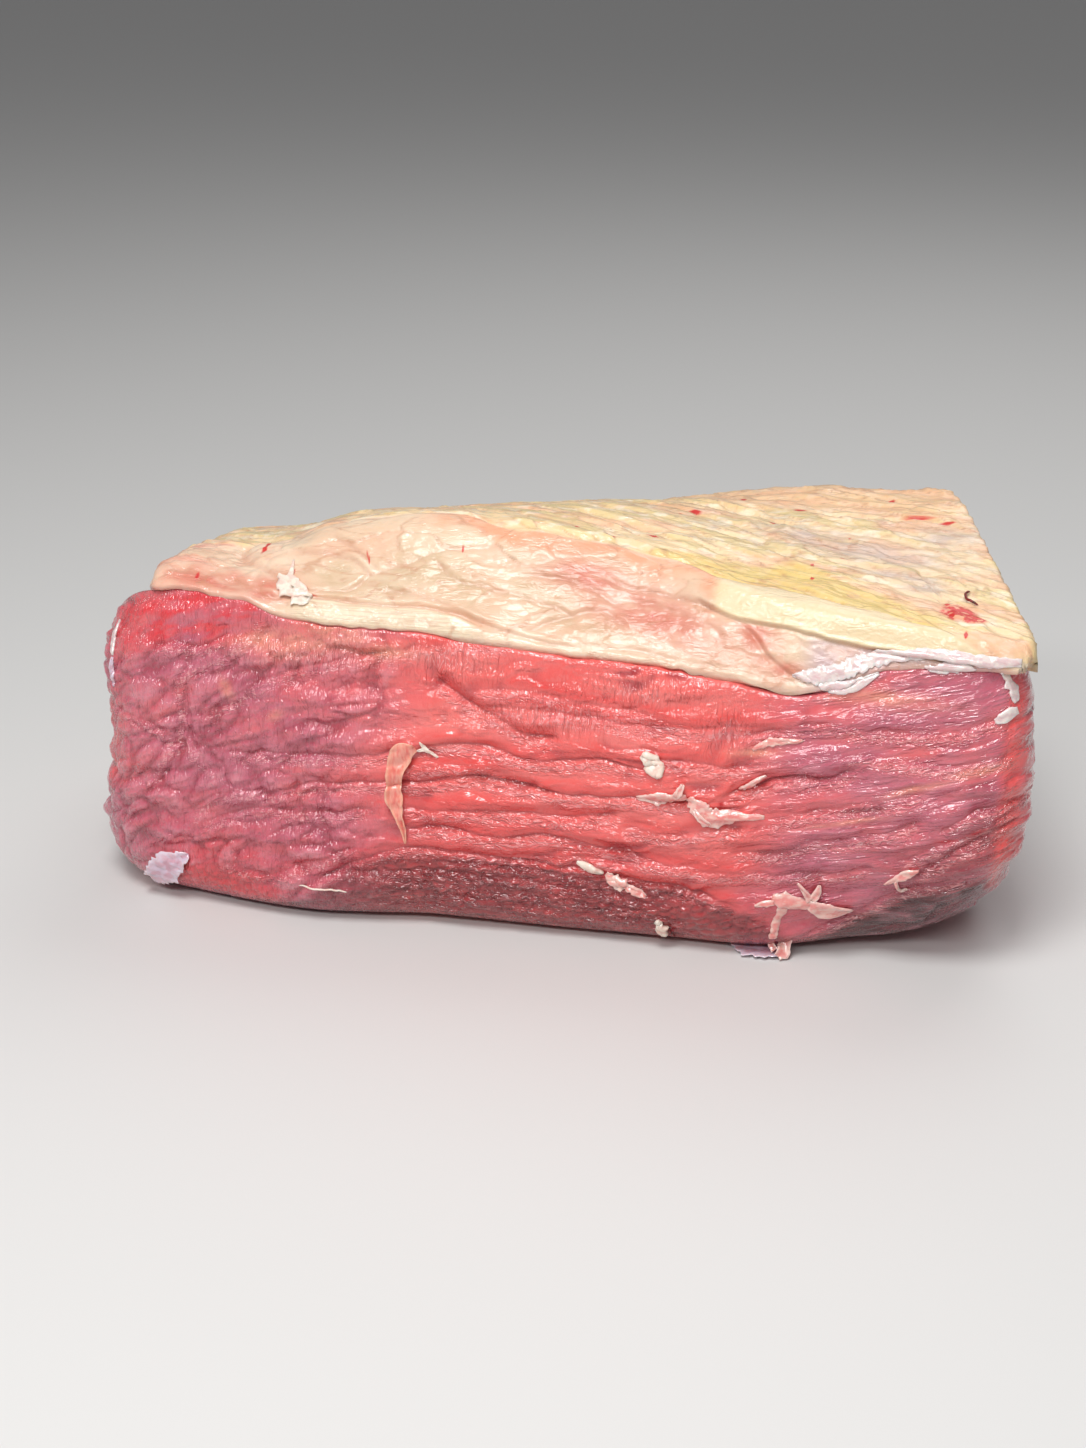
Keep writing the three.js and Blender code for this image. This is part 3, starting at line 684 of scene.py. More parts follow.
def build_lean():
    """The lean as an object, with its points and quads."""
    start, s, quads = lean_grid()
    settled = settle(lean_form, start)
    normal = normals_of(lean_form, settled)
    x, y, z = settled.T
    front = np.clip(-normal[:, 1] * 1.4, 0, 1)
    along, across = s, z - grain_rise(s)
    where = lean_regions(s, x, z, front)
    pressed, line, above, below = press_creases(LEAN_CREASES, x, z)
    where_the_ends_meet = np.minimum(s - s.min(), s.max() - s)
    small = small_relief(along, across, where) * ease(where_the_ends_meet / 8)
    off_the_floor, below_the_seam = ease(z / 12), ease((seam(x, y) - z - 0.5) / 5)
    relief = pressed * front + 0.8 * bellies(x, y, z) + small
    settled = settled + normal * (relief * off_the_floor * below_the_seam)[:, None]

    piece = make_mesh("lean_meat", settled, quads)
    keep_grain(piece, by_corner(quads, np.stack([along, across, settled[:, 1]], 1)), "CORNER")
    # crease, above and hollow say where shade is painted: in the creases, on the downward sides of the rolls
    # and between the cells. below and crest say where light is painted: on the upward sides of the rolls and
    # on the cells' tops.
    masks = {
        "crease": line * front, "above": above * front, "below": below * front,
        "hollow": np.clip(-small / 0.5 - 0.2, 0, 1), "crest": np.clip(small / 0.5, 0, 1),
    }
    for name, values in {**where, **masks}.items():
        keep_mask(piece, name, values)
    return piece, settled, quads


lean_meat, lean_points, lean_quads = build_lean()
print("lean:", len(lean_meat.data.vertices), "points")

# %% [markdown]
# ## The cap of fat
# Fat doesn't fold like muscle. It is a soft slab that was sliced at the front, so it has long lazy folds,
# a few torn edges and one clean cut face at the right. The folds of its steep front are drawn on that
# front, as (x, z) points, and the wrinkles of its top are drawn in plan, as (x, y) points.

# %% The creases of the fat
FAT_FRONT_CREASES = [
    # a roll of fat along the seam, left of the middle
    crease(1.3, (-68, 91.4), (-51, 91.5), (-40, 91.3), (-29, 91.2), (-21, 90.4), (-10, 88), quick=0.6,
           slow=1.5, lip=0.6),
    crease(0.8, (-40, 94.6), (-32, 93.6), (-22, 91.6), (-12, 88.6), (0, 85.6), (14, 84), quick=0.6),
    # the lobes at the left
    crease(0.9, (-98, 95.6), (-86, 95), (-76, 92.6), (-66, 89.8), quick=0.8),
    crease(1.3, (-90, 99.5), (-80, 97), (-70, 94.6), (-62, 92.8), quick=1.1),
    crease(0.9, (-68, 99.6), (-60, 100.4), (-51, 99.8), (-45, 97), quick=0.7, slow=1.8),
    crease(0.7, (-62, 92.6), (-55, 92.8), (-49, 94), (-45, 96.6), quick=0.7),
    crease(0.7, (-58, 104), (-51, 102), (-46, 99.6), (-42, 97.4), quick=0.9),
    # long folds down the slope in the middle
    crease(0.5, (-44, 97), (-36, 99.4), (-24, 103), (-12, 104), quick=1.4, slow=3),
    crease(0.7, (-28, 100.6), (-22, 97.6), (-11, 95.4), (0, 93.4), (12, 91), quick=0.8),
    crease(0.7, (-6, 98), (6.5, 98.4), (15, 96.8), (22, 94), quick=0.8),
    crease(0.7, (0, 87), (7, 89.6), (14, 91.6), (19, 92.6), (26, 89), quick=0.8),
    crease(0.8, (18, 99), (28, 97.2), (39, 96.4), (50, 95), quick=0.9),
    crease(0.6, (22, 95.4), (34, 94.2), (44, 92.4), (52, 89), quick=0.8),
    crease(0.5, (10, 85.4), (24, 84.6), (38, 83.4), (52, 81.4), quick=0.9),
    # the foot of the cut slab, which stands proud of the silver skin under it
    crease(1.5, (44, 96.4), (54, 93.4), (67, 92.6), (80, 90.7), (92, 89.6), (104, 88.4), (120, 87.4),
           quick=0.5, slow=2.6, lip=0.55),
    crease(0.9, (56, 92), (60, 89.4), (63, 86), (68, 82.6), (74, 80), quick=0.7),
]
FAT_TOP_CREASES = [
    crease(0.9, (-36, -28.6), (-21, -27.4), (-12, -30), (7, -31.2), (18, -30.6), (30, -32), (41, -32.6),
           quick=1.6, slow=1.0, lip=0.2),
    crease(0.8, (-16, -10), (-2, -15), (12, -19), (26, -22), quick=1),
    crease(0.9, (-2, -4), (11.5, -10), (23, -15), (40, -20), (52, -24), quick=1),
    crease(0.9, (6, 6), (20, -1), (37.5, -5), (55, -7), (64, -8), quick=1),
    crease(0.9, (14, 20), (30, 12), (44, 5), (56, 3), quick=1),
    crease(0.8, (30, 30), (46, 21), (60, 14), (74, 12), quick=1),
    crease(0.5, (56, -14), (70, -16.6), (84, -16), (96, -18), quick=1),
    crease(0.7, (62, 2), (74, -3.4), (88, -3), (100, -2.8), (108, -7), quick=1),
    crease(0.6, (66, 10), (78, 8), (92, 9.5), (108, 6), quick=1),
    crease(0.9, (70, 22), (80, 21.4), (95, 22.6), (108, 17.6), quick=1),
    crease(0.6, (60, 36), (76, 31), (92, 32), (104, 28), quick=1),
    crease(0.5, (92, -26), (102, -30), (114, -32), (124, -30), quick=1),
]
# Thin brown lines, where a torn layer of the top ends
TORN_EDGES = [
    crease(0.5, (72, 2), (84, 0), (95, -4), (99, -9), (104, -12), (108, -16), (111, -21.4), (118, -21),
           quick=0.4, slow=0.8),
    crease(0.5, (97, -12), (99, -17), (103, -25), (106, -33), (109, -42), (113, -47), quick=0.4, slow=0.8),
    crease(0.5, (58, -6), (62.6, -7.8), (66, -8.6), quick=0.4, slow=0.8),
    crease(0.4, (104, 0), (107, 3), (110, 1), (113, 5), quick=0.4, slow=0.8),
]
print(len(FAT_FRONT_CREASES) + len(FAT_TOP_CREASES) + len(TORN_EDGES), "creases and torn edges on the fat")


# %% [markdown]
# ## The parts of the fat
# On the real cap the top, the steep front and the cut slab at the right each have their own colour, parted by
# lines that the knife or the muscle drew. As on the lean, listed lines and ovals become masks. The
# front is placed in (x, z) and the top in (x, y), because that is how the photo shows each of them.

# %% Lines between the parts of the fat
rim_line = curve([
    (-60, -30), (-35, -28.3), (-21, -27.4), (-12, -30.6), (7, -32), (18, -31.4), (30, -33.4), (41, -34.6),
    (48, -39), (54, -39.6), (72, -42.6), (86, -45.6), (98, -47.6), (109, -50), (130, -53),
])
yellow_back = curve([(22, -30), (33, -26), (47, -24), (57, -23), (67, -18), (79, -26), (90, -31), (104, -39)])
ribbon_top = curve([(-68, 91.6), (-51, 91.5), (-40, 91.3), (-29, 91.2), (-21, 90.2), (-10, 87)])
slab_foot = curve([
    (44, 96.4), (54, 93.4), (67, 92.6), (80, 90.7), (92, 89.6), (104, 88.4), (120, 87.4), (134, 87),
])
PINK_PATCHES = [
    ((34, 92), (24, 6), -12), ((60, 90), (9, 5), -50), ((14, 99), (14, 4), -8), ((68.5, 83), (5, 2.4)),
    ((-88, 94), (18, 2.4), -6), ((-72, 92.5), (9, 3)),
]
CLEAR_PATCHES = [
    ((-32, 99), (12, 5)), ((-20, 96), (12, 5), -20), ((2, 95), (14, 4), -10), ((-54, 96), (7, 4)),
    ((16, 89), (14, 3), -10), ((-40, 94.6), (10, 2)),
]
LILAC_PATCHES = [
    ((84, -6), (22, 8), -4), ((66, 4), (14, 5)), ((100, -26), (6, 5)), ((104, 10), (9, 7)),
    ((94, -20), (12, 4), -12),
]
print("the slab is cut at heights from", float(slab_foot(44)), "to", float(slab_foot(134)), "mm")


# %% [markdown]
# ### Marks of blood
# A few drops have dried on the fat, one of them splashed. Dots scattered by chance would never lie where the
# photo has them, and there are fewer than thirty, so each is an oval of its own.

# %% Blood on the fat, and its masks
FAT_BLOOD = [
    ((110, -38), (4.4, 4.4), 60), ((114, -41), (3, 2.4)), ((106.6, -34), (1, 1.2)),
    ((27, -20), (0.7, 2.2), 60), ((112.6, -49), (0.5, 1.4)),
]
RED_SPECKS = [
    ((33.5, 10.6), (1.4, 2.6), 70), ((56, 11.6), (1.2, 2.2), 70), ((61, 26), (2.4, 1)),
    ((77.6, 4.4), (0.6, 0.8)), ((70.3, -21.2), (0.7, 1.1)), ((71.6, -32), (0.7, 0.9)),
    ((77.4, -13.7), (0.9, 0.7)), ((7, -25), (1.4, 0.7)), ((17, -27), (2, 0.7)), ((79, -10), (1.2, 0.4)),
    ((95, 23), (7, 0.7)), ((103, 20), (3, 1)), ((44, 33), (1.2, 1.6)), ((86, 38), (1.2, 1.4)),
    ((30, 6), (0.8, 1)),
]
RED_NICKS = [
    ((-66.4, 95.4), (0.5, 1.5), -20), ((-46.4, 100.4), (0.35, 2), 30), ((-21, 103.6), (0.4, 1.1)),
    ((-78, 98.6), (0.9, 0.5)), ((32, 92), (0.3, 0.8)), ((-92, 95), (0.6, 0.9), 20),
    ((-62, 92.3), (5, 0.25), -6),
]


def fat_regions(x, y, z):
    """How much a place belongs to each part of the fat, all from 0 to 1."""
    wobble = layered(91, x / 7, y / 5, z / 6)
    behind_rim = y - rim_line(x) + 0.9 * wobble
    top = ease(behind_rim / 1.2 + 0.5)
    front = 1 - top
    silver = front * ease((slab_foot(x) - z + 0.5 * wobble) / 0.8) * ease((x - 70) / 8)
    slab = front * (1 - silver) * ease((z - slab_foot(x)) / 1.0 + 0.5) * ease((x - 46) / 4)
    peach_rim = front * ease((7 + 2 * wobble + behind_rim) / 4) * ease((x + 40) / 20) * ease((54 - x) / 6)
    roll = (z - seam(x, y)) / (ribbon_top(x) - seam(x, y))
    ribbon = front * ease(roll / 0.2) * ease((1 - roll) / 0.12) * ease((x + 66) / 5) * ease((-9 - x) / 8)
    yellow = top * ease((yellow_back(x) + 3 * wobble - y) / 5) * ease((x - 20) / 12) * ease((110 - x) / 6)
    specks, nicks = top * patches(x, y, *RED_SPECKS), front * patches(x, z, *RED_NICKS)
    return {
        "on_top": top, "silver": silver, "slab": slab, "peach_rim": peach_rim, "ribbon": ribbon,
        "yellow": yellow,
        "pink": front * (1 - slab) * patches(x, z, *PINK_PATCHES),
        "clear": front * patches(x, z, *CLEAR_PATCHES),
        "lilac": top * patches(x, y, *LILAC_PATCHES),
        "blood": top * patches(x, y, *FAT_BLOOD),
        "red_specks": np.maximum(specks, nicks),
        "far_edge": top * ease((y - 20 + 6 * wobble) / 14) * ease((x - 20) / 20),
    }


print(len(FAT_BLOOD) + len(RED_SPECKS) + len(RED_NICKS), "marks of blood on the fat")


# %% [markdown]
# ## The fat's relief
# Cold fat is layered, and its surface breaks into thin overlapping plates with small steps between them,
# more on the top than on the sliced front. Sculpting them would take an hour and fix them in one place. The
# cells that made the lean's cobbles make plates too, if each cell gets its own height and a narrow step.

# %% Plates, wrinkles and folds
def plates(seed, u, v, edge=0.1):
    """Thin overlapping plates: each one's own number, how near its border is, and its height from -0.5."""
    bend, bend_2 = layered(seed + 3, u, v), layered(seed + 6, u, v)
    inside, own = cells(seed, u + 0.7 * bend, v + 0.7 * bend_2, jitter=0.95)
    return own, 1 - ease(inside / edge), (own - 0.5) * ease(inside / edge)


TOP_STEP, FRONT_STEP, FRONT_ROLL, SLAB_RISE = 0.8, 0.45, 0.9, 0.5  # all in millimetres


def fat_relief(x, y, z, where):
    """Soft folds and wrinkles of the fat, in millimetres, with the masks that go with them."""
    top, front, plain = where["on_top"], 1 - where["on_top"], 1 - 0.9 * where["slab"]
    front_press, front_crease, _, _ = press_creases(FAT_FRONT_CREASES, x, z, wander=0.6)
    top_press, top_crease, _, _ = press_creases(FAT_TOP_CREASES, x, y, wander=1.6)
    torn_press, torn, _, _ = press_creases(TORN_EDGES, x, y, wander=1.2)
    down_the_slope, turned = 0.78 * y + 0.62 * z, y + 0.35 * x
    own_front, border_front, step_front = plates(93, x / 17, down_the_slope / 7)
    own_top, border_top, step_top = plates(103, (x + 0.5 * y) / 12, turned / 4.6, edge=0.16)
    folds = 0.5 * np.sin(x / 7.5 + 1.2 * np.sin(y / 9)) * np.sin(y / 8 + x / 31)
    dimples = 0.35 * np.sin(x / 19 + y / 11)
    bend = layered(81, x / 15, y / 15)
    wrinkles = 1 - 2.6 * np.abs(layered(83, x / 14 + 0.5 * bend, turned / 3.6 + bend, octaves=2))
    soft = layered(86, x / 8, y / 5, z / 7)
    knobbly = front * ease((-60 - x) / 16) * dome(cells(89, x / 7 + soft, down_the_slope / 5 + soft)[0], 0.9)
    small = top * (0.35 * wrinkles + TOP_STEP * step_top)
    small = small + plain * (0.4 * soft + FRONT_STEP * front * step_front)
    small = small + 0.5 * knobbly + 0.1 * layered(88, x / 3, y / 2.4, z / 3) * plain
    relief = 0.8 * (folds + dimples) + front_press * front + (top_press + torn_press) * top + small
    relief = relief + FRONT_ROLL * np.sqrt(where["ribbon"]) + SLAB_RISE * where["slab"]
    return relief, {
        # crease: where shade is painted into the fat's creases
        "crease": front_crease * front + 0.5 * top_crease * top, "torn": torn * top,
        "plate": np.where(top > 0.5, own_top, own_front),
        "border": (border_top * top + border_front * front) * plain,
    }


print("the steps between two plates are up to", TOP_STEP, "mm on the top and", FRONT_STEP, "mm in front")


# %% [markdown]
# ## Building the fat
# The real cap lies on the muscle and its front edge hangs over it a little, which draws the thin shadow along
# the seam. We settle a box grid onto its form as before, with its rows more than twice as close in front as
# behind, because the camera looks there. The overhang is half a millimetre of relief just above the seam.

# %% Settle the fat's grid and press its relief
def fat_grid():
    """The starting points of the fat, packed closer in front, and its quads."""
    shares = spaced((0, 1, 430))
    depths = spaced((-54, -26, 84), (-26, 40, 76), (40, 54, 12))
    levels = spaced((0, 1, 14))
    grid, quads = box_skin(len(shares), len(depths), len(levels))
    i, j, k = grid.T
    y = depths[j]
    left = np.maximum(NEAR_LEFT, fat_corner(y) + 1)
    x = left + shares[i] * (near_right(y) - left)
    low = seam(x, y) - SEAM_OVERLAP
    high = np.minimum(np.minimum(fat_top(x, y), low + 3 + (y - SEAM_FRONT_Y)), left_slope(x, y))
    return np.stack([x, y, low + (np.maximum(high, low + 2) - low) * levels[k]], 1), quads


def build_fat():
    """The cap of fat as an object, with its points and quads."""
    start, quads = fat_grid()
    settled = settle(fat_form, start)
    normal = normals_of(fat_form, settled)
    x, y, z = settled.T
    where = fat_regions(x, y, z)
    relief, masks = fat_relief(x, y, z, where)
    above = z - seam(x, y)
    outward = np.clip(2 * np.maximum(normal[:, 2], -normal[:, 1]), 0.3, 1)
    overhang = 0.5 * bell(above - 1, 1.4) * (1 + noise(92, x / 6, y / 9))
    proud = relief * outward * ease((above - 0.6) / 3) + overhang * ease(above / 0.8)
    settled = settled + normal * proud[:, None]
    piece = make_mesh("cap_of_fat", settled, quads)
    keep_grain(piece, np.stack([x, y, z], 1))
    masks = {**where, **masks, "edge": 1 - ease(above / 2.4), "left_end": ease((-62 - x) / 30)}
    for name, values in masks.items():
        keep_mask(piece, name, values)
    return piece, settled, quads


cap_of_fat, fat_points, fat_quads = build_fat()
print("fat:", len(cap_of_fat.data.vertices), "points")

# %% [markdown]
# ## Materials in layers
# Both materials are built the same way: a base colour, then layers of other colours on top, each let
# through by a mask. A few small helpers keep that readable, because a node tree written out link by link
# is hard to follow.

# %% Helpers for node trees
def tone(red, green, blue):
    """A colour as a screen shows it, 0 to 255, turned into the linear values that shaders work with."""
    share = np.array([red, green, blue]) / 255
    linear = np.where(share <= 0.04045, share / 12.92, ((share + 0.055) / 1.055) ** 2.4)
    return (*linear.tolist(), 1.0)


print("a mid grey, as shaders see it:", round(tone(128, 128, 128)[0], 3))


# %% A finish under construction
class Finish:
    """A material under construction, with short ways to add the nodes that these finishes need."""

    def __init__(self, name):
        self.material = bpy.data.materials.new(name)
        self.material.use_nodes = True
        self.nodes = self.material.node_tree.nodes

    def feed(self, socket, value):
        """Links a node's output to a socket, or sets the socket to a plain value."""
        if isinstance(value, bpy.types.NodeSocket):
            self.material.node_tree.links.new(value, socket)
        else:
            socket.default_value = value

    def add(self, kind, output, inputs, **settings):
        """Adds a node of a kind, with its settings and inputs, and gives back one of its outputs."""
        node = self.nodes.new("ShaderNode" + kind)
        for name, setting in settings.items():
            setattr(node, name, setting)
        for name, value in inputs.items():
            self.feed(node.inputs[name], value)
        return node.outputs[output]

    def mask(self, name):
        """One of the numbers that we kept on the mesh."""
        return self.add("Attribute", "Fac", {}, attribute_name=name)

    def noise(self, stretch, detail=3.0, distortion=0.0):
        """Noise whose features reach so many millimetres along, across and through the grain."""
        grain = self.add("Attribute", "Vector", {}, attribute_name="grain")
        place = self.add("VectorMath", "Vector", {0: grain, 1: stretch}, operation="DIVIDE")
        return self.add("TexNoise", "Fac", {
            "Vector": place, "Scale": 1.0, "Detail": detail, "Distortion": distortion,
        })

    def math(self, operation, *values):
        return self.add("Math", "Value", dict(enumerate(values)), operation=operation)

    def chain(self, operation, values):
        """The values taken together, two at a time."""
        total = values[0]
        for value in values[1:]:
            total = self.math(operation, total, value)
        return total

    def times(self, *values):
        return self.chain("MULTIPLY", values)

    def plus(self, *values):
        return self.chain("ADD", values)

    def beyond(self, mask, full=1.0):
        """What a mask leaves over."""
        return self.math("SUBTRACT", full, mask)

    def between(self, value, low, high, to_low=0.0, to_high=1.0):
        """value, from low to high, as a smooth share from to_low to to_high."""
        return self.add("MapRange", "Result", {
            "Value": value, "From Min": low, "From Max": high, "To Min": to_low, "To Max": to_high,
        }, interpolation_type="SMOOTHSTEP")

    def ridged(self, value):
        """Noise folded about its middle, which makes thin bright lines of it."""
        from_middle = self.math("ABSOLUTE", self.math("SUBTRACT", value, 0.5))
        return self.beyond(self.times(from_middle, 4.0))

    def over(self, under, colour, mask):
        """colour laid over what is under it, where mask lets it through."""
        return self.add("Mix", "Result", {"Factor": mask, "A": under, "B": colour}, data_type="RGBA")

    def layers(self, colour, *layers):
        """Screen colours laid over one another, each with the mask that lets it through."""
        for screen_colour, mask in layers:
            colour = self.over(colour, tone(*screen_colour), mask)
        return colour

    def bump(self, height, distance):
        return self.add("Bump", "Normal", {"Height": height, "Distance": distance})

    def done(self, **sockets):
        """Feeds the shader's sockets, named as in its panel but with _ for a space, and ends the finish."""
        for name, value in sockets.items():
            self.feed(self.nodes["Principled BSDF"].inputs[name.replace("_", " ")], value)
        return self.material


print("the finishes use", sum(callable(value) for value in vars(Finish).values()), "helpers")


# %% [markdown]
# ## The lean's finish
# Raw beef is salmon red where air has reached it and mauve where it hasn't. The colour changes slowly from
# part to part. On top of that, shade is painted darker into the creases, the hollows, the downward sides of
# the rolls, the lower front and the underside, and light is painted paler onto the crests and the upward
# sides. One noise could mottle it all, but then the parts would look alike. So a list of layers says, from
# the bottom up, which colour lies where, and each layer's mask is one that the mesh carries, broken up by
# flecks. The wrinkles that are too fine for the mesh are drawn along the grain too, so that they turn with
# the muscle.

# %% Lean: fine wrinkles and their colours
def fine_wrinkles(f, left, below, fleck):
    """Lines along the grain, ticks across it and pimples, with a painted highlight on the lines and ticks
    and painted shade between the lines.
    """
    lines = f.ridged(f.noise((3.2, 1.25, 4), detail=0, distortion=1.6))
    ticks = f.ridged(f.noise((1.0, 3.4, 4), detail=0, distortion=1.0))
    patchy = f.between(f.noise((14, 5, 12), detail=2), 0.42, 0.58)
    ticked = f.math("MAXIMUM", f.mask("ticks"), f.times(left, 0.6))
    rolled = f.between(below, 0.1, 0.7, 0.35, 1.0)
    lined = f.times(f.beyond(ticked, 1.15), f.math("MAXIMUM", f.times(patchy, 0.8), below), rolled)
    long_lines = f.ridged(f.noise((7, 1.0, 4), detail=0, distortion=0.6))
    long_lined = f.times(f.mask("right"), f.between(fleck, 0.36, 0.6), f.beyond(f.mask("turned_away")))
    height = f.plus(
        f.times(lines, lined, 0.55), f.times(long_lines, long_lined, 0.4), f.times(ticks, ticked, 0.5),
        f.times(f.noise((1.7, 1.4, 1.6), detail=0), patchy, 0.7),
    )
    # pale: a painted highlight on the wrinkles' lines and ticks, standing in for glints
    pale = f.between(f.plus(f.times(lines, lined), f.times(ticks, ticked)), 0.7, 1.0, 0.0, 0.45)
    # dark: painted shade in the valleys between the lines
    dark = f.times(f.between(lines, 0.0, -0.6), lined, 0.35)
    return height, pale, dark


def lean_colour(f, left, below, fleck, pale, dark):
    """The colours of the lean, from the bottom layer up."""
    blotch = f.noise((34, 16, 30))
    fibre = f.noise((9, 0.7, 3), detail=2, distortion=0.4)
    ends = f.plus(left, f.mask("right"))
    mauve = f.times(ends, f.between(f.plus(blotch, f.times(fleck, 0.35)), 0.45, 0.8, 0.35, 1.0))
    return f.layers(
        tone(232, 100, 96),
        ((242, 124, 118), f.between(blotch, 0.35, 0.7)),
        # painted shade towards the foot
        ((200, 60, 66), f.times(f.mask("low"), 0.6)),
        ((192, 100, 118), mauve),
        ((222, 66, 72), f.times(f.mask("lobe"), f.between(fleck, 0.35, 0.62))),
        ((212, 62, 66), f.times(f.mask("rim"), 0.8)),
        ((138, 50, 60), f.times(f.mask("low_right"), f.between(fleck, 0.3, 0.6, 0.6, 1.0))),
        # painted shadow on the underside at the lower right
        ((56, 14, 16), f.times(f.mask("underside_shadow"), 0.96)),
        ((228, 88, 84), f.times(f.mask("salmon_edge"), 0.85)),
        # painted shade on the rolls' downward sides, above each crease
        ((222, 66, 64), f.times(f.mask("above"), f.beyond(ends), 0.6)),
        # painted light on the rolls' upward sides, below each crease
        ((238, 134, 136), f.times(below, f.beyond(left), f.between(fibre, 0.35, 0.7), 0.55)),
        # painted light on the crests at both ends
        ((226, 146, 156), f.times(f.mask("crest"), ends, f.between(fleck, 0.35, 0.65), 0.55)),
        # painted shade in the hollows between cells
        ((146, 50, 62), f.times(f.mask("hollow"), 0.6)),
        ((234, 150, 128), f.times(f.mask("film"), f.between(fleck, 0.3, 0.6, 0.35, 0.85))),
        # painted highlight on the wrinkles
        ((244, 176, 176), pale),
        # painted shade between the wrinkles
        ((168, 48, 56), dark),
        # the band's browner colour, darkened further as painted shade
        ((112, 38, 44), f.times(f.mask("band"), f.between(fleck, 0.3, 0.7, 0.5, 0.85))),
        # painted shade in the creases
        ((146, 30, 40), f.times(f.mask("crease"), 0.85)),
        ((176, 10, 26), f.mask("blood")),
    )


print("the lean's salmon, as shaders see it:", [round(share, 3) for share in tone(232, 100, 96)[:3]])


# %% [markdown]
# ### A wet surface
# The joint is wet, so most of what we see on it is small glints. A low roughness alone would make it look
# like plastic, because the colour and the glint would come from the same surface. A clear coat over a
# rougher base is closer to the real thing: a film of juice over soft muscle. A little light also goes into
# the meat and comes out red, which subsurface scattering gives.

# %% Lean: the finish, and what the lean stands for
def lean_finish():
    f = Finish("wet lean beef")
    left, below, fleck = f.mask("left"), f.mask("below"), f.noise((7, 3, 7), detail=4)
    height, pale, dark = fine_wrinkles(f, left, below, fleck)
    normal = f.bump(height, 0.0006)
    return f.done(
        Base_Color=lean_colour(f, left, below, fleck, pale, dark), Normal=normal, Coat_Normal=normal,
        Roughness=f.between(f.noise((2.2, 2.2, 2.2)), 0.3, 0.75, 0.16, 0.36), Specular_IOR_Level=0.3,
        Coat_Weight=1.0, Coat_Roughness=0.05,
        Subsurface_Weight=0.15, Subsurface_Radius=(1.0, 0.28, 0.2), Subsurface_Scale=0.0015,
    )


lean_meat.data.materials.append(lean_finish())
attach(lean_meat, "root")
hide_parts("lean")
print("lean finish:", len(lean_meat.data.materials[0].node_tree.nodes), "nodes")

# %% [markdown]
# ## The fat's finish
# Fat is cream, with clearer patches where less light comes back. It turns yellow in a band behind the
# ridge, pink where it was pulled off the muscle, and lilac where a sheet of silver skin covers it. Each of
# those is a listed soft patch, broken up by noise.

# %% Fat: colour and greasy sheen
def top_of_fat_colour(f, blotch, fleck, plate):
    """The colours of the fat's top, which is yellower than its front."""
    return f.layers(
        tone(240, 210, 166),
        ((230, 204, 152), f.between(plate, 0.5, 0.62)),
        ((244, 224, 194), f.between(fleck, 0.5, 0.64)),
        ((232, 172, 142), f.times(f.between(blotch, 0.48, 0.62), 0.55)),
        ((206, 184, 172), f.times(f.mask("lilac"), f.between(fleck, 0.3, 0.6, 0.5, 0.9))),
        ((240, 192, 152), f.times(f.mask("far_edge"), 0.6)),
        ((226, 196, 126), f.times(f.mask("yellow"), f.between(fleck, 0.25, 0.6, 0.6, 1.0))),
    )


def fat_colour(f, spots):
    """The colours of the fat, from the bottom layer up."""
    blotch, fleck = f.noise((24, 10, 14)), f.noise((6, 3.5, 5), detail=4)
    plate, ribbon, blood = f.mask("plate"), f.mask("ribbon"), f.mask("blood")
    colour = f.layers(
        tone(234, 208, 182),
        ((228, 190, 162), f.between(blotch, 0.4, 0.66)),
        ((232, 178, 150), f.times(f.between(plate, 0.3, 0.1), 0.35)),
        ((218, 196, 166), f.times(f.between(plate, 0.62, 0.7), 0.4)),
        ((204, 176, 142), f.times(f.mask("clear"), f.between(fleck, 0.3, 0.6, 0.3, 0.9))),
        ((232, 168, 148), f.times(f.mask("left_end"), f.between(spots, 0.46, 0.7), 0.8)),
        ((232, 168, 134), f.times(f.mask("peach_rim"), f.between(fleck, 0.3, 0.55, 0.5, 1.0))),
        ((208, 122, 102), f.times(f.mask("pink"), f.between(spots, 0.25, 0.55, 0.45, 0.95))),
    )
    roll_lines = f.between(f.ridged(f.noise((30, 9, 0.5), detail=1)), 0.5, 0.95)
    roll_colour = f.layers(tone(234, 214, 186), ((212, 186, 158), f.times(roll_lines, 0.7)))
    colour = f.over(colour, roll_colour, ribbon)
    colour = f.layers(
        colour,
        ((234, 213, 174), f.times(f.mask("slab"), 0.9)),
        ((206, 178, 176), f.times(f.mask("silver"), f.between(fleck, 0.3, 0.6, 0.5, 1.0))),
    )
    colour = f.over(colour, top_of_fat_colour(f, blotch, fleck, plate), f.mask("on_top"))
    splash = f.between(f.noise((3, 2.2, 3)), 0.36, 0.58, 0.2, 1.5)
    red = f.plus(f.times(blood, splash), f.mask("red_specks"))
    return f.layers(
        colour,
        ((196, 142, 112), f.times(f.mask("border"), f.between(spots, 0.4, 0.6, 0.1, 0.6))),
        # painted shade in the fat's creases
        ((196, 134, 108), f.times(f.mask("crease"), 0.6)),
        ((150, 84, 66), f.times(f.mask("torn"), 0.75)),
        ((214, 146, 132), f.times(f.mask("edge"), f.beyond(ribbon), 0.45)),
        ((234, 140, 118), f.times(f.between(blood, 0.1, 0.5), 0.6)),
        ((204, 34, 34), f.between(red, 0.3, 0.8, 0.0, 0.95)),
    )


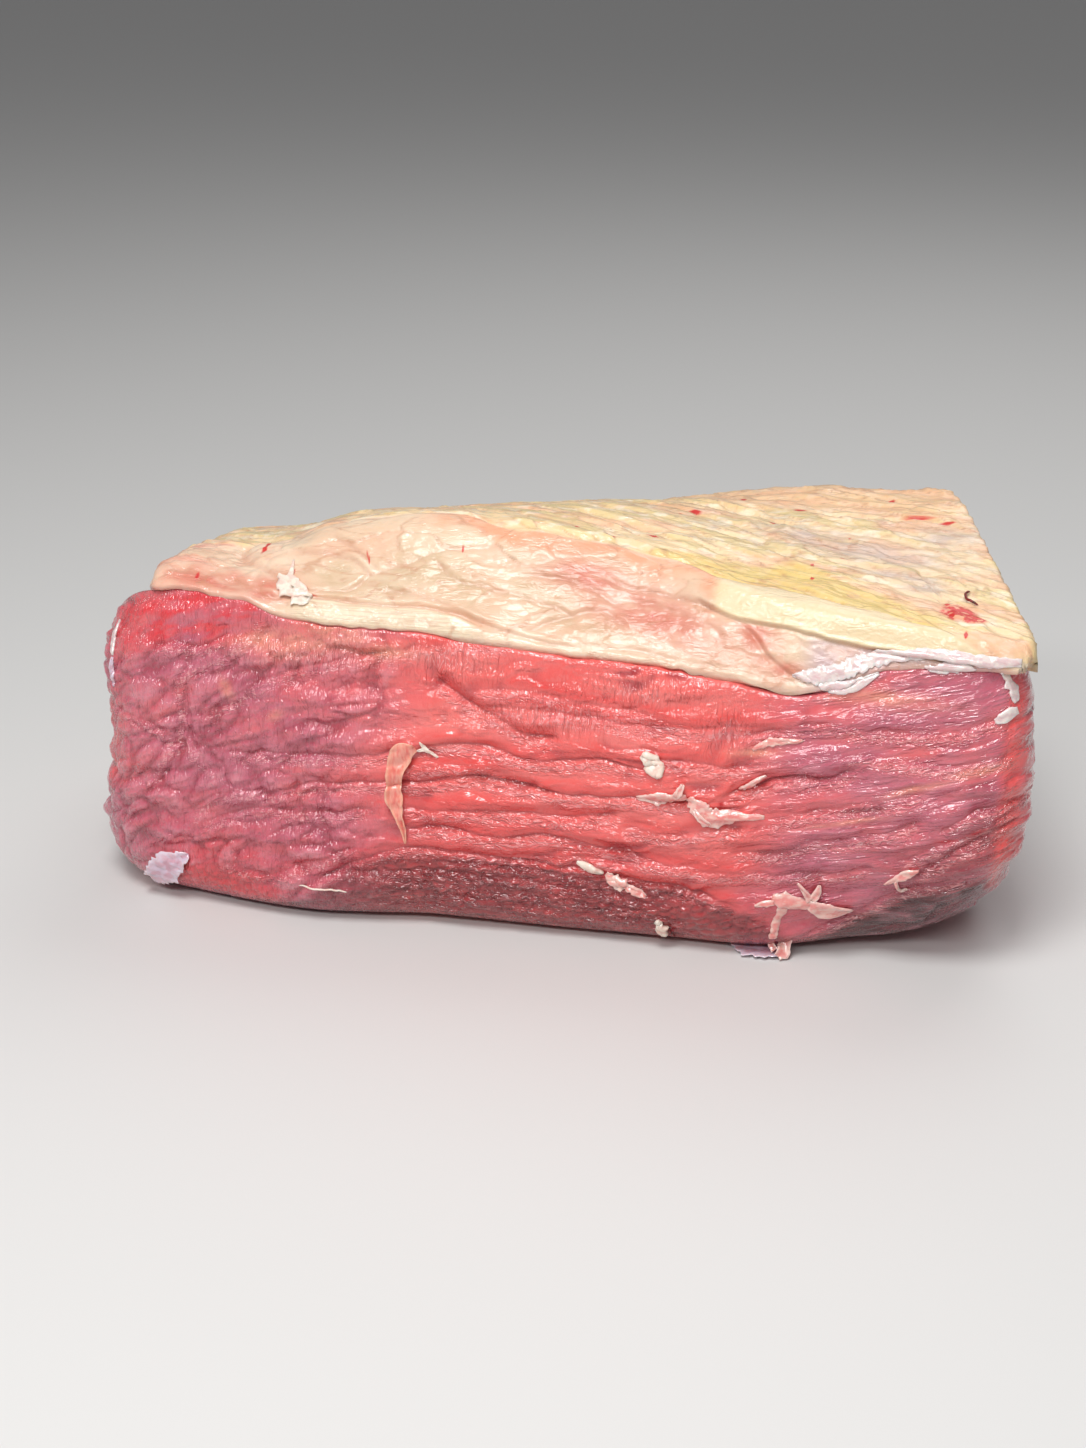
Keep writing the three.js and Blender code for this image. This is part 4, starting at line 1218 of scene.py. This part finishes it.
def fat_finish():
    f = Finish("raw beef fat")
    spots = f.noise((9, 4.5, 6))
    fine = f.noise((3.2, 1.4, 2), detail=4, distortion=0.6)
    fine_lines = f.ridged(f.noise((6, 1.3, 2), detail=1, distortion=1.0))
    height = f.plus(f.times(fine, 0.5), f.times(fine_lines, f.between(spots, 0.45, 0.65), 0.3))
    normal = f.bump(height, 0.0005)
    return f.done(
        Base_Color=fat_colour(f, spots), Normal=normal, Coat_Normal=normal,
        Roughness=f.between(fine, 0.3, 0.7, 0.28, 0.5), Specular_IOR_Level=0.35,
        Coat_Weight=0.5, Coat_Roughness=0.1,
        Subsurface_Weight=0.3, Subsurface_Radius=(1.0, 0.7, 0.5), Subsurface_Scale=0.002,
    )


cap_of_fat.data.materials.append(fat_finish())
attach(cap_of_fat, "root")
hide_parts("fat_cap")
print("fat finish:", len(cap_of_fat.data.materials[0].node_tree.nodes), "nodes")


# %% [markdown]
# ## Shreds of skin
# Thin scraps of skin and fat cling to the front, torn there when the joint was trimmed. A flat card with a
# cut-out picture would look torn from one side only, so each scrap is a real thin sheet: a strip along a
# listed line, wavy and ragged, with two faces and a closed edge. Its line is given on the front of the
# joint, and a ray finds how deep the meat lies there, so every scrap sits on the surface.

# %% Where the surface is
NO_MEAT_Y = -50.0  # where a ray that misses the joint is taken to stop
lean_surface = BVHTree.FromPolygons(lean_points.tolist(), lean_quads.tolist())
fat_surface = BVHTree.FromPolygons(fat_points.tolist(), fat_quads.tolist())
FRONT_START, TOP_START = -200.0, 300.0


def on_front(x, z, proud):
    """The point that stands `proud` of the joint's front at (x, z)."""
    hits = [
        surface.ray_cast(Vector((x, FRONT_START, z)), Vector((0, 1, 0)))[0]
        for surface in (lean_surface, fat_surface)
    ]
    depth = min((hit.y for hit in hits if hit), default=NO_MEAT_Y)
    return (x, depth - proud, z)


def on_top(x, y, proud):
    """The point that stands `proud` of the fat's top at (x, y)."""
    hit = fat_surface.ray_cast(Vector((x, y, TOP_START)), Vector((0, 0, -1)))[0]
    return (x, y, hit.z + proud)


print("the front of the lean, 40 mm up, is at y =", round(on_front(0, 40, 0)[1], 2))

# %% A thin ragged sheet along a line
def along_line(values, shares):
    """Smoothly between listed values, at shares of the way through the list."""
    places = np.linspace(0, 1, len(values))
    return np.stack([curve(list(zip(places, column)))(shares) for column in np.array(values, float).T], 1)


def closed_sheet(middle, thick):
    """Points and quads of a thin closed sheet, `thick` in the middle and nearly nothing at its edges."""
    rows, columns, _ = middle.shape
    normal = np.cross(np.gradient(middle, axis=0), np.gradient(middle, axis=1))
    normal /= np.linalg.norm(normal, axis=2)[..., None] + 1e-9
    across, down = np.linspace(-1, 1, columns), np.linspace(-1, 1, rows)
    taper = np.sqrt(np.clip((1 - across ** 4)[None] * (1 - down ** 8)[:, None], 0, 1))
    half = (0.04 + 0.5 * thick * taper)[..., None]
    offset = normal * half
    points = np.concatenate([(middle + offset).reshape(-1, 3), (middle - offset).reshape(-1, 3)])
    upper = np.arange(rows * columns).reshape(rows, columns)
    lower = upper + rows * columns
    faces = [
        np.stack([upper[:-1, :-1], upper[1:, :-1], upper[1:, 1:], upper[:-1, 1:]], -1).reshape(-1, 4),
        np.stack([lower[:-1, :-1], lower[:-1, 1:], lower[1:, 1:], lower[1:, :-1]], -1).reshape(-1, 4),
    ]
    rim = np.concatenate([upper[0, :-1], upper[:-1, -1], upper[-1, :0:-1], upper[:0:-1, 0]])
    rim_below = rim + rows * columns
    faces.append(np.stack([rim, np.roll(rim, -1), np.roll(rim_below, -1), rim_below], -1))
    return points, np.concatenate(faces)


print("the middle of a line from 0 to 1 to 4:", along_line([(0,), (1,), (4,)], np.array([0.5]))[0])


# %% A scrap of skin or fat
ROW_STEP, COLUMNS = 0.35, 15


def sheet_scrap(name, line, wide, thick=0.8, curl=0.0, ragged=0.25, flutter=0.25, place=on_front, seed=1):
    """A scrap along a line of (u, v, proud) points, `wide` there, with its long edges curled out."""
    length = np.linalg.norm(np.diff(np.array(line, float), axis=0), axis=1).sum()
    shares = np.linspace(0, 1, int(length / ROW_STEP) + 8)
    u, v, proud = along_line(line, shares).T
    width = along_line(np.array(wide, float)[:, None], shares)
    tilt = np.stack([np.gradient(v), -np.gradient(u)], 1)
    tilt /= np.linalg.norm(tilt, axis=1)[:, None] + 1e-9
    s, t = np.meshgrid(shares * length, np.linspace(-1, 1, COLUMNS), indexing="ij")
    side = np.sign(t)
    tears = layered(seed, s / 2.2, side * 9) + 0.6 * noise(seed + 5, s / 0.8, side * 7)
    reach = 0.5 * width * t * (1 + ragged * tears)
    lift = proud[:, None] + curl * t ** 2 + flutter * layered(seed + 9, s / 3.2, t * 1.2)
    us, vs = u[:, None] + tilt[:, :1] * reach, v[:, None] + tilt[:, 1:] * reach
    spots = zip(us.ravel(), vs.ravel(), lift.ravel())
    middle = np.array([place(*spot) for spot in spots]).reshape(*t.shape, 3)
    points, quads = closed_sheet(middle, thick)
    piece = make_mesh(name, points, quads)
    keep_grain(piece, points)
    keep_mask(piece, "rim", np.tile(np.abs(t).ravel(), 2))
    return piece


print("a scrap 10 mm long has", int(10 / ROW_STEP) + 8, "rows of", COLUMNS, "points on each face")

# %% Torn skin on the front
# Each line holds (x, z, how far it stands off the meat) points.
SKIN_SCRAPS = {
    "skin_by_the_middle_fold": dict(
        line=[(31, 45.6, 0.2), (36, 46.4, 0.5), (40.4, 46.8, 0.6), (44.6, 47.8, 0.5)],
        wide=[0.8, 3.4, 3, 1.6], seed=11),
    "hook_of_skin": dict(
        line=[(41.6, 47.4, 0.5), (42.7, 49.2, 1.2), (43.7, 51.6, 1.6)],
        wide=[1.8, 2, 0.9], curl=0.5, seed=12),
    "skin_right_of_the_middle": dict(
        line=[(45, 47.4, 0.4), (48, 44.4, 0.8), (52, 42.6, 0.9), (57, 43.2, 0.6), (65, 43.4, 0.2)],
        wide=[2, 5.4, 5.6, 3, 0.8], ragged=0.35, seed=13),
    "fold_of_that_skin": dict(
        line=[(46.6, 44.6, 0.8), (48.4, 42.4, 1.6), (51, 40.6, 1.2)], wide=[0.8, 1.8, 1], curl=0.5, seed=24),
    "skin_below_the_middle": dict(
        line=[(23, 22.4, 0.3), (26, 20.4, 0.8), (29.6, 18.6, 0.7), (34, 16.6, 0.2)],
        wide=[1.6, 4, 3, 0.8], ragged=0.5, seed=14),
    "lower_flap": dict(
        line=[(77, 18.4, 0.4), (80.4, 16.6, 0.9), (84.6, 15.6, 1.0), (88.6, 15.6, 0.3)],
        wide=[2, 5.2, 4.4, 0.5], curl=0.6, ragged=0.15, seed=15),
    "root_of_the_lower_flap": dict(
        line=[(67.6, 20.2, 0.3), (70.6, 19.2, 0.6), (74, 18.6, 0.7), (78, 18.2, 0.6)],
        wide=[1.2, 4.6, 3.4, 2.4], curl=-0.4, ragged=0.3, seed=25),
    "left_arm_of_the_flap": dict(
        line=[(63.2, 17.2, 0.2), (65.8, 18.4, 0.7), (68.4, 18.8, 0.5)],
        wide=[0.5, 1.9, 1.4], curl=0.2, seed=26),
    "left_prong_above_the_flap": dict(
        line=[(74.2, 24.8, 0.5), (76, 22.4, 1.1), (77.8, 19.4, 0.7)],
        wide=[0.4, 1.2, 2.2], curl=0.3, ragged=0.1, seed=16),
    "right_prong_above_the_flap": dict(
        line=[(79.8, 24.2, 0.6), (79.4, 22, 1.2), (78, 19.4, 0.7)],
        wide=[0.4, 2, 2.2], curl=0.4, ragged=0.1, seed=28),
    "skin_down_to_the_foot": dict(
        line=[(70.8, 17.4, 0.2), (69.2, 13.4, 0.15), (68.2, 9.6, 0.15), (68, 6.4, 0.3)],
        wide=[3, 1.8, 1.8, 2.4], curl=-0.4, ragged=0.5, seed=17),
    "skin_at_the_right": dict(
        line=[(96.4, 25.6, 0.1), (99.6, 28.2, 0.4), (102.6, 30.2, 0.5), (105.4, 31.4, 0.1)],
        wide=[0.4, 1.8, 2.4, 0.5], seed=18),
    "loop_at_the_right": dict(
        line=[(99.4, 27.8, 0.3), (100, 25.6, 0.9), (101, 24, 0.7), (102.6, 24.6, 0.3)],
        wide=[1, 0.7, 0.7, 0.4], curl=0.2, seed=27),
    "skin_along_the_right_fold": dict(
        line=[(61, 61.4, 0.1), (64, 63.4, 0.4), (68, 64.4, 0.5), (74, 65, 0.1)],
        wide=[0.6, 2.4, 1.8, 0.4], curl=-0.3, ragged=0.5, seed=22),
    "lip_of_the_right_fold": dict(
        line=[(58, 50.2, 0.2), (60, 51.6, 0.8), (62.4, 53.6, 0.9), (65, 55, 0.3)],
        wide=[0.6, 1.6, 1.4, 0.4], curl=0.3, ragged=0.4, seed=23),
}
print(len(SKIN_SCRAPS), "scraps of torn skin")


# %% [markdown]
# ### Lilac and silver skin, and bits of fat
# Where the sheet round the muscle was left on, it shows as lilac at the left and as bright silver under the
# cut slab. Small bits of white fat cling where the knife dropped them. All of them are the same kind of
# closed sheet, so one function makes them from another table, and thickness alone turns a skin into a nub.

# %% Lilac skin, silver skin and bits of fat
LILAC_SCRAPS = {
    "lilac_skin_at_the_left_edge": dict(
        line=[(-116.6, 70.6, 0.1), (-117, 66.6, 0.4), (-116.8, 62, 0.1)],
        wide=[0.6, 1.6, 0.6], ragged=0.2, seed=46),
    "skin_at_the_left_foot": dict(
        line=[(-95.4, 16, 0.2), (-99.6, 13.4, 0.9), (-105, 8.6, 1.6), (-110, 4.8, 1.4)],
        wide=[1.6, 7, 9, 4], curl=0.8, ragged=0.3, seed=19),
}
SILVER_SCRAPS = {
    "silver_skin_under_the_slab": dict(
        line=[(70, 81.6, 0.2), (76, 82.2, 0.7), (84, 84.6, 0.8), (92, 88, 0.8), (104, 89.8, 0.7),
              (118, 88.8, 0.6), (127, 88.6, 0.3)],
        wide=[0.8, 4, 4.4, 3.4, 2.8, 3, 2], curl=-0.2, ragged=0.3, flutter=0.4, seed=42),
    "lens_of_silver_skin": dict(
        line=[(76, 80.8, 0.2), (80, 79.8, 0.5), (85.4, 80.4, 0.6), (92, 84, 0.2)],
        wide=[0.6, 3.4, 3.4, 0.8], curl=-0.2, ragged=0.15, flutter=0.3, seed=43),
    "fringe_right_of_the_lens": dict(
        line=[(103, 86.4, 0.2), (107, 86.4, 0.5), (112, 87, 0.4), (116, 86.4, 0.1)],
        wide=[0.6, 2.6, 2.2, 0.6], ragged=0.6, seed=44),
    "skin_at_the_right_edge": dict(
        line=[(121.4, 73, 0.2), (124, 74.4, 0.5), (127, 75.4, 0.5)],
        wide=[1.2, 3, 2.2], curl=-0.2, ragged=0.3, seed=20),
    "streak_of_skin_at_the_right": dict(
        line=[(122, 85.8, 0.2), (124.6, 82, 0.4), (126.6, 77.4, 0.3)],
        wide=[0.6, 2, 1.2], curl=-0.2, ragged=0.6, seed=21),
    "pale_skin_at_the_left_edge": dict(
        line=[(-115.6, 80, 0.1), (-116.4, 77, 0.4), (-116.8, 73.6, 0.4), (-116.6, 71, 0.1)],
        wide=[0.4, 1.2, 1.4, 0.6], ragged=0.2, seed=45),
}
FAT_SCRAPS = {
    "nub_of_fat": dict(
        line=[(32.4, 58.4, 0.1), (34.6, 57, 0.9), (36.2, 54.6, 1.1), (37.4, 52.4, 0.4)],
        wide=[1.8, 4.2, 4.8, 1.6], thick=1.8, ragged=0.22, flutter=0.6, seed=38),
    "crumb_by_the_hanging_strip": dict(
        line=[(-27.7, 56.2, 0.2), (-26.2, 54, 0.7), (-24.6, 53, 0.7), (-22.8, 51.8, 0.2)],
        wide=[0.3, 1.3, 1, 0.3], thick=0.5, seed=32),
    "arm_of_the_crumb": dict(
        line=[(-28.6, 53.4, 0.3), (-27.2, 53.8, 0.8), (-25.6, 53.6, 0.5)],
        wide=[0.3, 1, 0.4], thick=0.4, seed=37),
    "streak_of_fat_below_the_middle": dict(
        line=[(15, 25, 0.2), (18.6, 24, 0.8), (22.4, 22.4, 0.3)], wide=[0.8, 2.4, 0.8], thick=1.2, seed=33),
    "foot_nub": dict(
        line=[(37, 9.8, 0.2), (38, 6.8, 0.9), (38.6, 3.8, 0.7)],
        wide=[1, 3.2, 1.6], thick=1.8, ragged=0.5, seed=34),
    "torn_flap_on_the_fat": dict(
        line=[(-70.6, 95, 0.2), (-67.2, 93.8, 0.7), (-63.6, 92.6, 0.9), (-59.4, 91.2, 0.2)],
        wide=[1.4, 3.8, 5, 1.4], thick=0.9, curl=0.4, ragged=0.4, seed=35),
    "spike_of_the_torn_flap": dict(
        line=[(-67.2, 98.4, 0.1), (-66.8, 96.6, 0.6), (-66.4, 94.4, 0.8)],
        wide=[0.3, 1.2, 2.6], ragged=0.25, seed=36),
}
print(len(LILAC_SCRAPS) + len(SILVER_SCRAPS) + len(FAT_SCRAPS), "more scraps")


# %% [markdown]
# ### Finishes for the scraps
# Thin skin lets the meat's colour through, and its torn edges turn white. Real transparency would show that,
# but it makes a render noisy and slow for something a few millimetres wide. So a scrap mixes two colours by
# flecks and gets a paler one towards its long edges, which its mesh marks with a mask.

# %% Finishes for the scraps, and how they cling
def scrap_finish(name, *colours, flecks=(2.4, 2, 1.6), detail=3.0, edges=(0.38, 0.6), bumps=0.0002, **shine):
    """A base colour, flecks of a second and, if there is a third, that along the rim."""
    f = Finish(name)
    fleck, rim = f.noise(flecks, detail), f.mask("rim")
    masks = [f.between(fleck, *edges), f.times(rim, rim, 0.6)]
    colour = f.layers(tone(*colours[0]), *zip(colours[1:], masks))
    return f.done(Base_Color=colour, Normal=f.bump(fleck, bumps), Subsurface_Scale=0.002, **shine)


def cling(piece, material, node="lean"):
    """A scrap rides with the joint and stands for the node it clings to."""
    piece.data.materials.append(material)
    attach(piece, "root")
    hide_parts(node)


WET_SKIN = dict(
    Roughness=0.22, Coat_Weight=1.0, Coat_Roughness=0.06, Subsurface_Weight=0.3,
    Subsurface_Radius=(1.0, 0.5, 0.4),
)
torn_skin = scrap_finish("torn skin", (238, 184, 172), (232, 138, 132), (248, 222, 212), **WET_SKIN)
lilac_skin = scrap_finish("lilac skin", (216, 190, 208), (210, 160, 176), (234, 224, 232), **WET_SKIN)
silver_skin = scrap_finish("silver skin", (234, 216, 210), (222, 190, 190), (246, 240, 236), **WET_SKIN)
loose_fat = scrap_finish(
    "scraps of fat", (243, 226, 210), (238, 200, 186), flecks=(2, 2, 1.6), edges=(0.4, 0.65), bumps=0.0003,
    Roughness=0.35, Coat_Weight=0.3, Subsurface_Weight=0.3, Subsurface_Radius=(1.0, 0.7, 0.6),
)
ON_THE_FAT = ("silver_skin_under_the_slab", "lens_of_silver_skin", "fringe_right_of_the_lens",
              "torn_flap_on_the_fat", "spike_of_the_torn_flap")
for scraps, material in (
    (SKIN_SCRAPS, torn_skin), (LILAC_SCRAPS, lilac_skin),
    (SILVER_SCRAPS, silver_skin), (FAT_SCRAPS, loose_fat),
):
    for name, shape in scraps.items():
        cling(sheet_scrap(name, **shape), material, "fat_cap" if name in ON_THE_FAT else "lean")
    print(material.name + ":", len(scraps), "pieces")


# %% [markdown]
# ## The hanging strip
# The longest scrap hangs down the middle of the front: wide where it is torn off, narrower in its middle, and
# drawn out to a point. It is the one scrap that the eye goes to first, so it has its own salmon colour,
# streaked along its length.

# %% The hanging strip
salmon_skin = scrap_finish(
    "salmon strip of skin", (232, 118, 106), (240, 156, 140), (246, 186, 158), flecks=(1.1, 1.1, 5), detail=2,
    edges=(0.4, 0.62), Roughness=0.25, Coat_Weight=0.5, Coat_Roughness=0.1, Subsurface_Weight=0.4,
    Subsurface_Radius=(1.0, 0.4, 0.3),
)
hanging_strip = sheet_scrap(
    "hanging_strip",
    line=[
        (-28.9, 54.6, 0.3), (-32.0, 53.0, 1.2), (-34.0, 48.6, 1.6), (-34.6, 43.6, 1.8), (-34.5, 40.0, 1.8),
        (-33.9, 37.0, 1.4), (-33.0, 33.6, 1.1), (-32.3, 30.6, 0.9), (-31.8, 26.6, 0.4),
    ],
    wide=[2.4, 6.2, 5.0, 4.0, 5.0, 3.6, 2.0, 1.3, 0.3],
    thick=0.5, curl=0.9, ragged=0.05, flutter=0.5, seed=41,
)
cling(hanging_strip, salmon_skin)
print("the hanging strip is", round(hanging_strip.dimensions.z / MM, 1), "mm long")


# %% [markdown]
# ## The shred on the floor
# At the foot one shred has flopped over and lies on the surface in front of the joint, and two folds of it
# still stand. It is the same kind of sheet, but no ray is needed: the flat part is placed in plan, just above
# the floor, and the folds on an upright plane in front of the foot.

# %% The shred at the foot
FLOOR_GAP, STANDING_Y = 0.3, -51


def on_floor(x, y, proud):
    """A point just above the floor."""
    return (x, y, FLOOR_GAP + proud)


def standing(x, z, proud):
    """A point on an upright plane just in front of the foot."""
    return (x, STANDING_Y - proud, z)


cling(sheet_scrap(
    "shred_on_the_floor",
    line=[(54.6, -47.6, 0.4), (58, -49.4, 0.5), (62.4, -51.4, 0.5), (66.6, -51.6, 0.6), (71, -50.4, 0.8)],
    wide=[1.2, 5, 9, 9.6, 5], thick=0.35, curl=0.2, ragged=0.35, flutter=0.25, place=on_floor, seed=51,
), lilac_skin)
FOLDS_OF_THE_SHRED = {
    "left_fold_of_the_shred": dict(
        line=[(66.2, 5.6, 0.2), (67, 4, 1.2), (68.4, 2.2, 2.8)], wide=[0.7, 1.8, 1.8], curl=0.5, seed=52),
    "right_fold_of_the_shred": dict(
        line=[(69.2, 6.8, 0.2), (70.8, 5, 1), (71, 3, 2.4), (69.4, 1.4, 4.4)], wide=[1.2, 3.8, 4.2, 2.2],
        curl=0.7, seed=53),
}
for name, shape in FOLDS_OF_THE_SHRED.items():
    cling(sheet_scrap(name, thick=0.5, ragged=0.3, place=standing, **shape), torn_skin)
print("the shred has", len(FOLDS_OF_THE_SHRED), "standing folds")


# %% [markdown]
# ## Threads
# A few threads are finer than any sheet: a dark curl of dried blood on the fat, another at the foot, and a
# white line of sinew at the left. Blender's curves with a round bevel would do, but a short tube of our own
# follows the surface, because each of its points is found by a ray.

# %% Fine threads
LONG_POINTS, ROUND_POINTS = 40, 8


def tube_quads(number):
    """The quads between the rings of a tube, from its points' numbers, ring by ring."""
    wrapped = np.concatenate([number, number[:, :1]], 1)
    quads = np.stack([wrapped[:-1, :-1], wrapped[:-1, 1:], wrapped[1:, 1:], wrapped[1:, :-1]], -1)
    return quads.reshape(-1, 4)


def thread(name, line, radius, material, place=on_front, node="lean"):
    """A thin round thread through (u, v, proud) points, which thins out at both ends."""
    shares = np.linspace(0, 1, LONG_POINTS)
    centre = np.array([place(*p) for p in along_line(line, shares)])
    along = np.gradient(centre, axis=0)
    along /= np.linalg.norm(along, axis=1)[:, None]
    side = np.cross(along, [0.0, 0.6, 0.8])
    side /= np.linalg.norm(side, axis=1)[:, None]
    turns = np.linspace(0, 2 * np.pi, ROUND_POINTS, endpoint=False)[None, :, None]
    ring = np.cos(turns) * side[:, None] + np.sin(turns) * np.cross(along, side)[:, None]
    radii = radius * np.sqrt(np.clip(1 - (2 * shares - 1) ** 6, 0.02, 1))
    points = (centre[:, None] + radii[:, None, None] * ring).reshape(-1, 3)
    number = np.arange(len(points)).reshape(LONG_POINTS, ROUND_POINTS)
    piece = make_mesh(name, points, tube_quads(number), (number[0].tolist(), number[-1][::-1].tolist()))
    keep_grain(piece, points)
    cling(piece, material, node)
    print(name, "is", round(float(np.linalg.norm(np.diff(centre, axis=0), axis=1).sum()), 1), "mm long")


def dried_blood_finish():
    f = Finish("dried blood")
    fleck = f.between(f.noise((1, 1, 1), detail=2), 0.4, 0.6)
    return f.done(Base_Color=f.layers(tone(70, 14, 16), ((130, 30, 28), fleck)), Roughness=0.3)


dried_blood = dried_blood_finish()
thread("dark_curl_on_the_fat", [(112, -25, 0.6), (111, -28, 1.2), (112, -31, 1.0), (114.6, -32, 0.5)], 0.35,
       dried_blood, on_top, "fat_cap")
thread("dark_thread_at_the_foot", [(39.8, 7, 0.3), (40.6, 5.4, 0.8), (41.4, 3.4, 0.6)], 0.3, dried_blood)
thread("white_line_at_the_left_foot", [(-62, 11.9, 0.1), (-56, 11.2, 0.4), (-48.4, 11, 0.1)], 0.28, loose_fat)


# %% [markdown]
# ## The floor
# The joint lies on a plain pale floor, so that nothing takes the eye off it. A square plane would show its
# corners in a low view. A wide flat disc of one face has none.

# %% Floor
FLOOR_RADIUS, FLOOR_CORNERS = 4.0, 96


def make_floor():
    """A flat pale disc under the joint, in metres."""
    mesh = bpy.data.meshes.new("floor")
    angles = np.linspace(0, 2 * np.pi, FLOOR_CORNERS, endpoint=False)
    rim = [(FLOOR_RADIUS * np.cos(a), FLOOR_RADIUS * np.sin(a), 0.0) for a in angles]
    mesh.from_pydata(rim, [], [list(range(FLOOR_CORNERS))])
    floor = bpy.data.objects.new("floor", mesh)
    bpy.context.scene.collection.objects.link(floor)
    mesh.materials.append(Finish("pale floor").done(Base_Color=tone(212, 211, 209), Roughness=0.6))


make_floor()
print("the floor is", 2 * FLOOR_RADIUS, "m across")


# %% [markdown]
# ## Light
# Raw meat is judged by its glints. A square lamp high in front gives the form. A long narrow one, lower down,
# is mirrored by every wet wrinkle as a short bright dash, which a round lamp would turn into dots. A weak one
# behind lifts the far edge off the background, and the pale world fills the shadows.

# %% Lights
AIM = Vector((0, 0, 0.05))  # what the lamps face, in metres
LAMP_DISTANCE = 1.1


def soft_light(name, azimuth, elevation, wide, high, power):
    """A lamp that faces the joint: azimuth 0 is straight in front of it and 90 is to its right."""
    a, e = np.radians(azimuth), np.radians(elevation)
    outward = Vector((np.sin(a) * np.cos(e), -np.cos(a) * np.cos(e), np.sin(e)))
    lamp = bpy.data.lights.new(name, "AREA")
    lamp.shape = "RECTANGLE"
    lamp.size, lamp.size_y = wide, high
    lamp.energy = power
    holder = bpy.data.objects.new(name, lamp)
    holder.location = AIM + outward * LAMP_DISTANCE
    holder.rotation_mode = "QUATERNION"
    holder.rotation_quaternion = outward.to_track_quat("Z", "Y")
    bpy.context.scene.collection.objects.link(holder)
    print(name + ":", power, "W")


soft_light("main light", -4, 62, 0.4, 0.4, 8)
soft_light("long lamp for glints", -6, 36, 0.8, 0.12, 4.7)
soft_light("light from behind", 160, 55, 0.7, 0.7, 3)

world = bpy.data.worlds.new("pale studio")
world.use_nodes = True
world.node_tree.nodes["Background"].inputs["Color"].default_value = tone(236, 236, 238)
world.node_tree.nodes["Background"].inputs["Strength"].default_value = 0.24
bpy.context.scene.world = world
bpy.context.scene.view_settings.view_transform = "Standard"

# %% [markdown]
# ## Camera
# The photo looks a little down on the joint and from a little right of its front. Its lens isn't known, but
# how much the top narrows towards the back tells how near the camera was. A number of pixels for the focal
# length is easier to match to a photo than millimetres are, so the lens is worked out from that.

# %% Camera
AZIMUTH, ELEVATION = np.radians(13), np.radians(22)
DISTANCE = 0.64
TARGET = Vector(in_part_frame((-2, -25, 50)))
FOCAL_PIXELS, LONG_SIDE_PIXELS, SENSOR = 2300, 1448, 36.0

camera_data = bpy.data.cameras.new("camera")
camera_data.sensor_width = SENSOR
camera_data.lens = FOCAL_PIXELS / LONG_SIDE_PIXELS * SENSOR
camera = bpy.data.objects.new("camera", camera_data)
back = Vector((
    np.sin(AZIMUTH) * np.cos(ELEVATION), -np.cos(AZIMUTH) * np.cos(ELEVATION), np.sin(ELEVATION),
))
camera.location = TARGET + back * DISTANCE
camera.rotation_mode = "QUATERNION"
camera.rotation_quaternion = back.to_track_quat("Z", "Y")
bpy.context.scene.collection.objects.link(camera)
bpy.context.scene.camera = camera
print("lens:", round(camera_data.lens, 2), "mm")

# %% [markdown]
# ## The end
# Relief and scraps stand a little proud of the packed model, and a look can't tell how much.
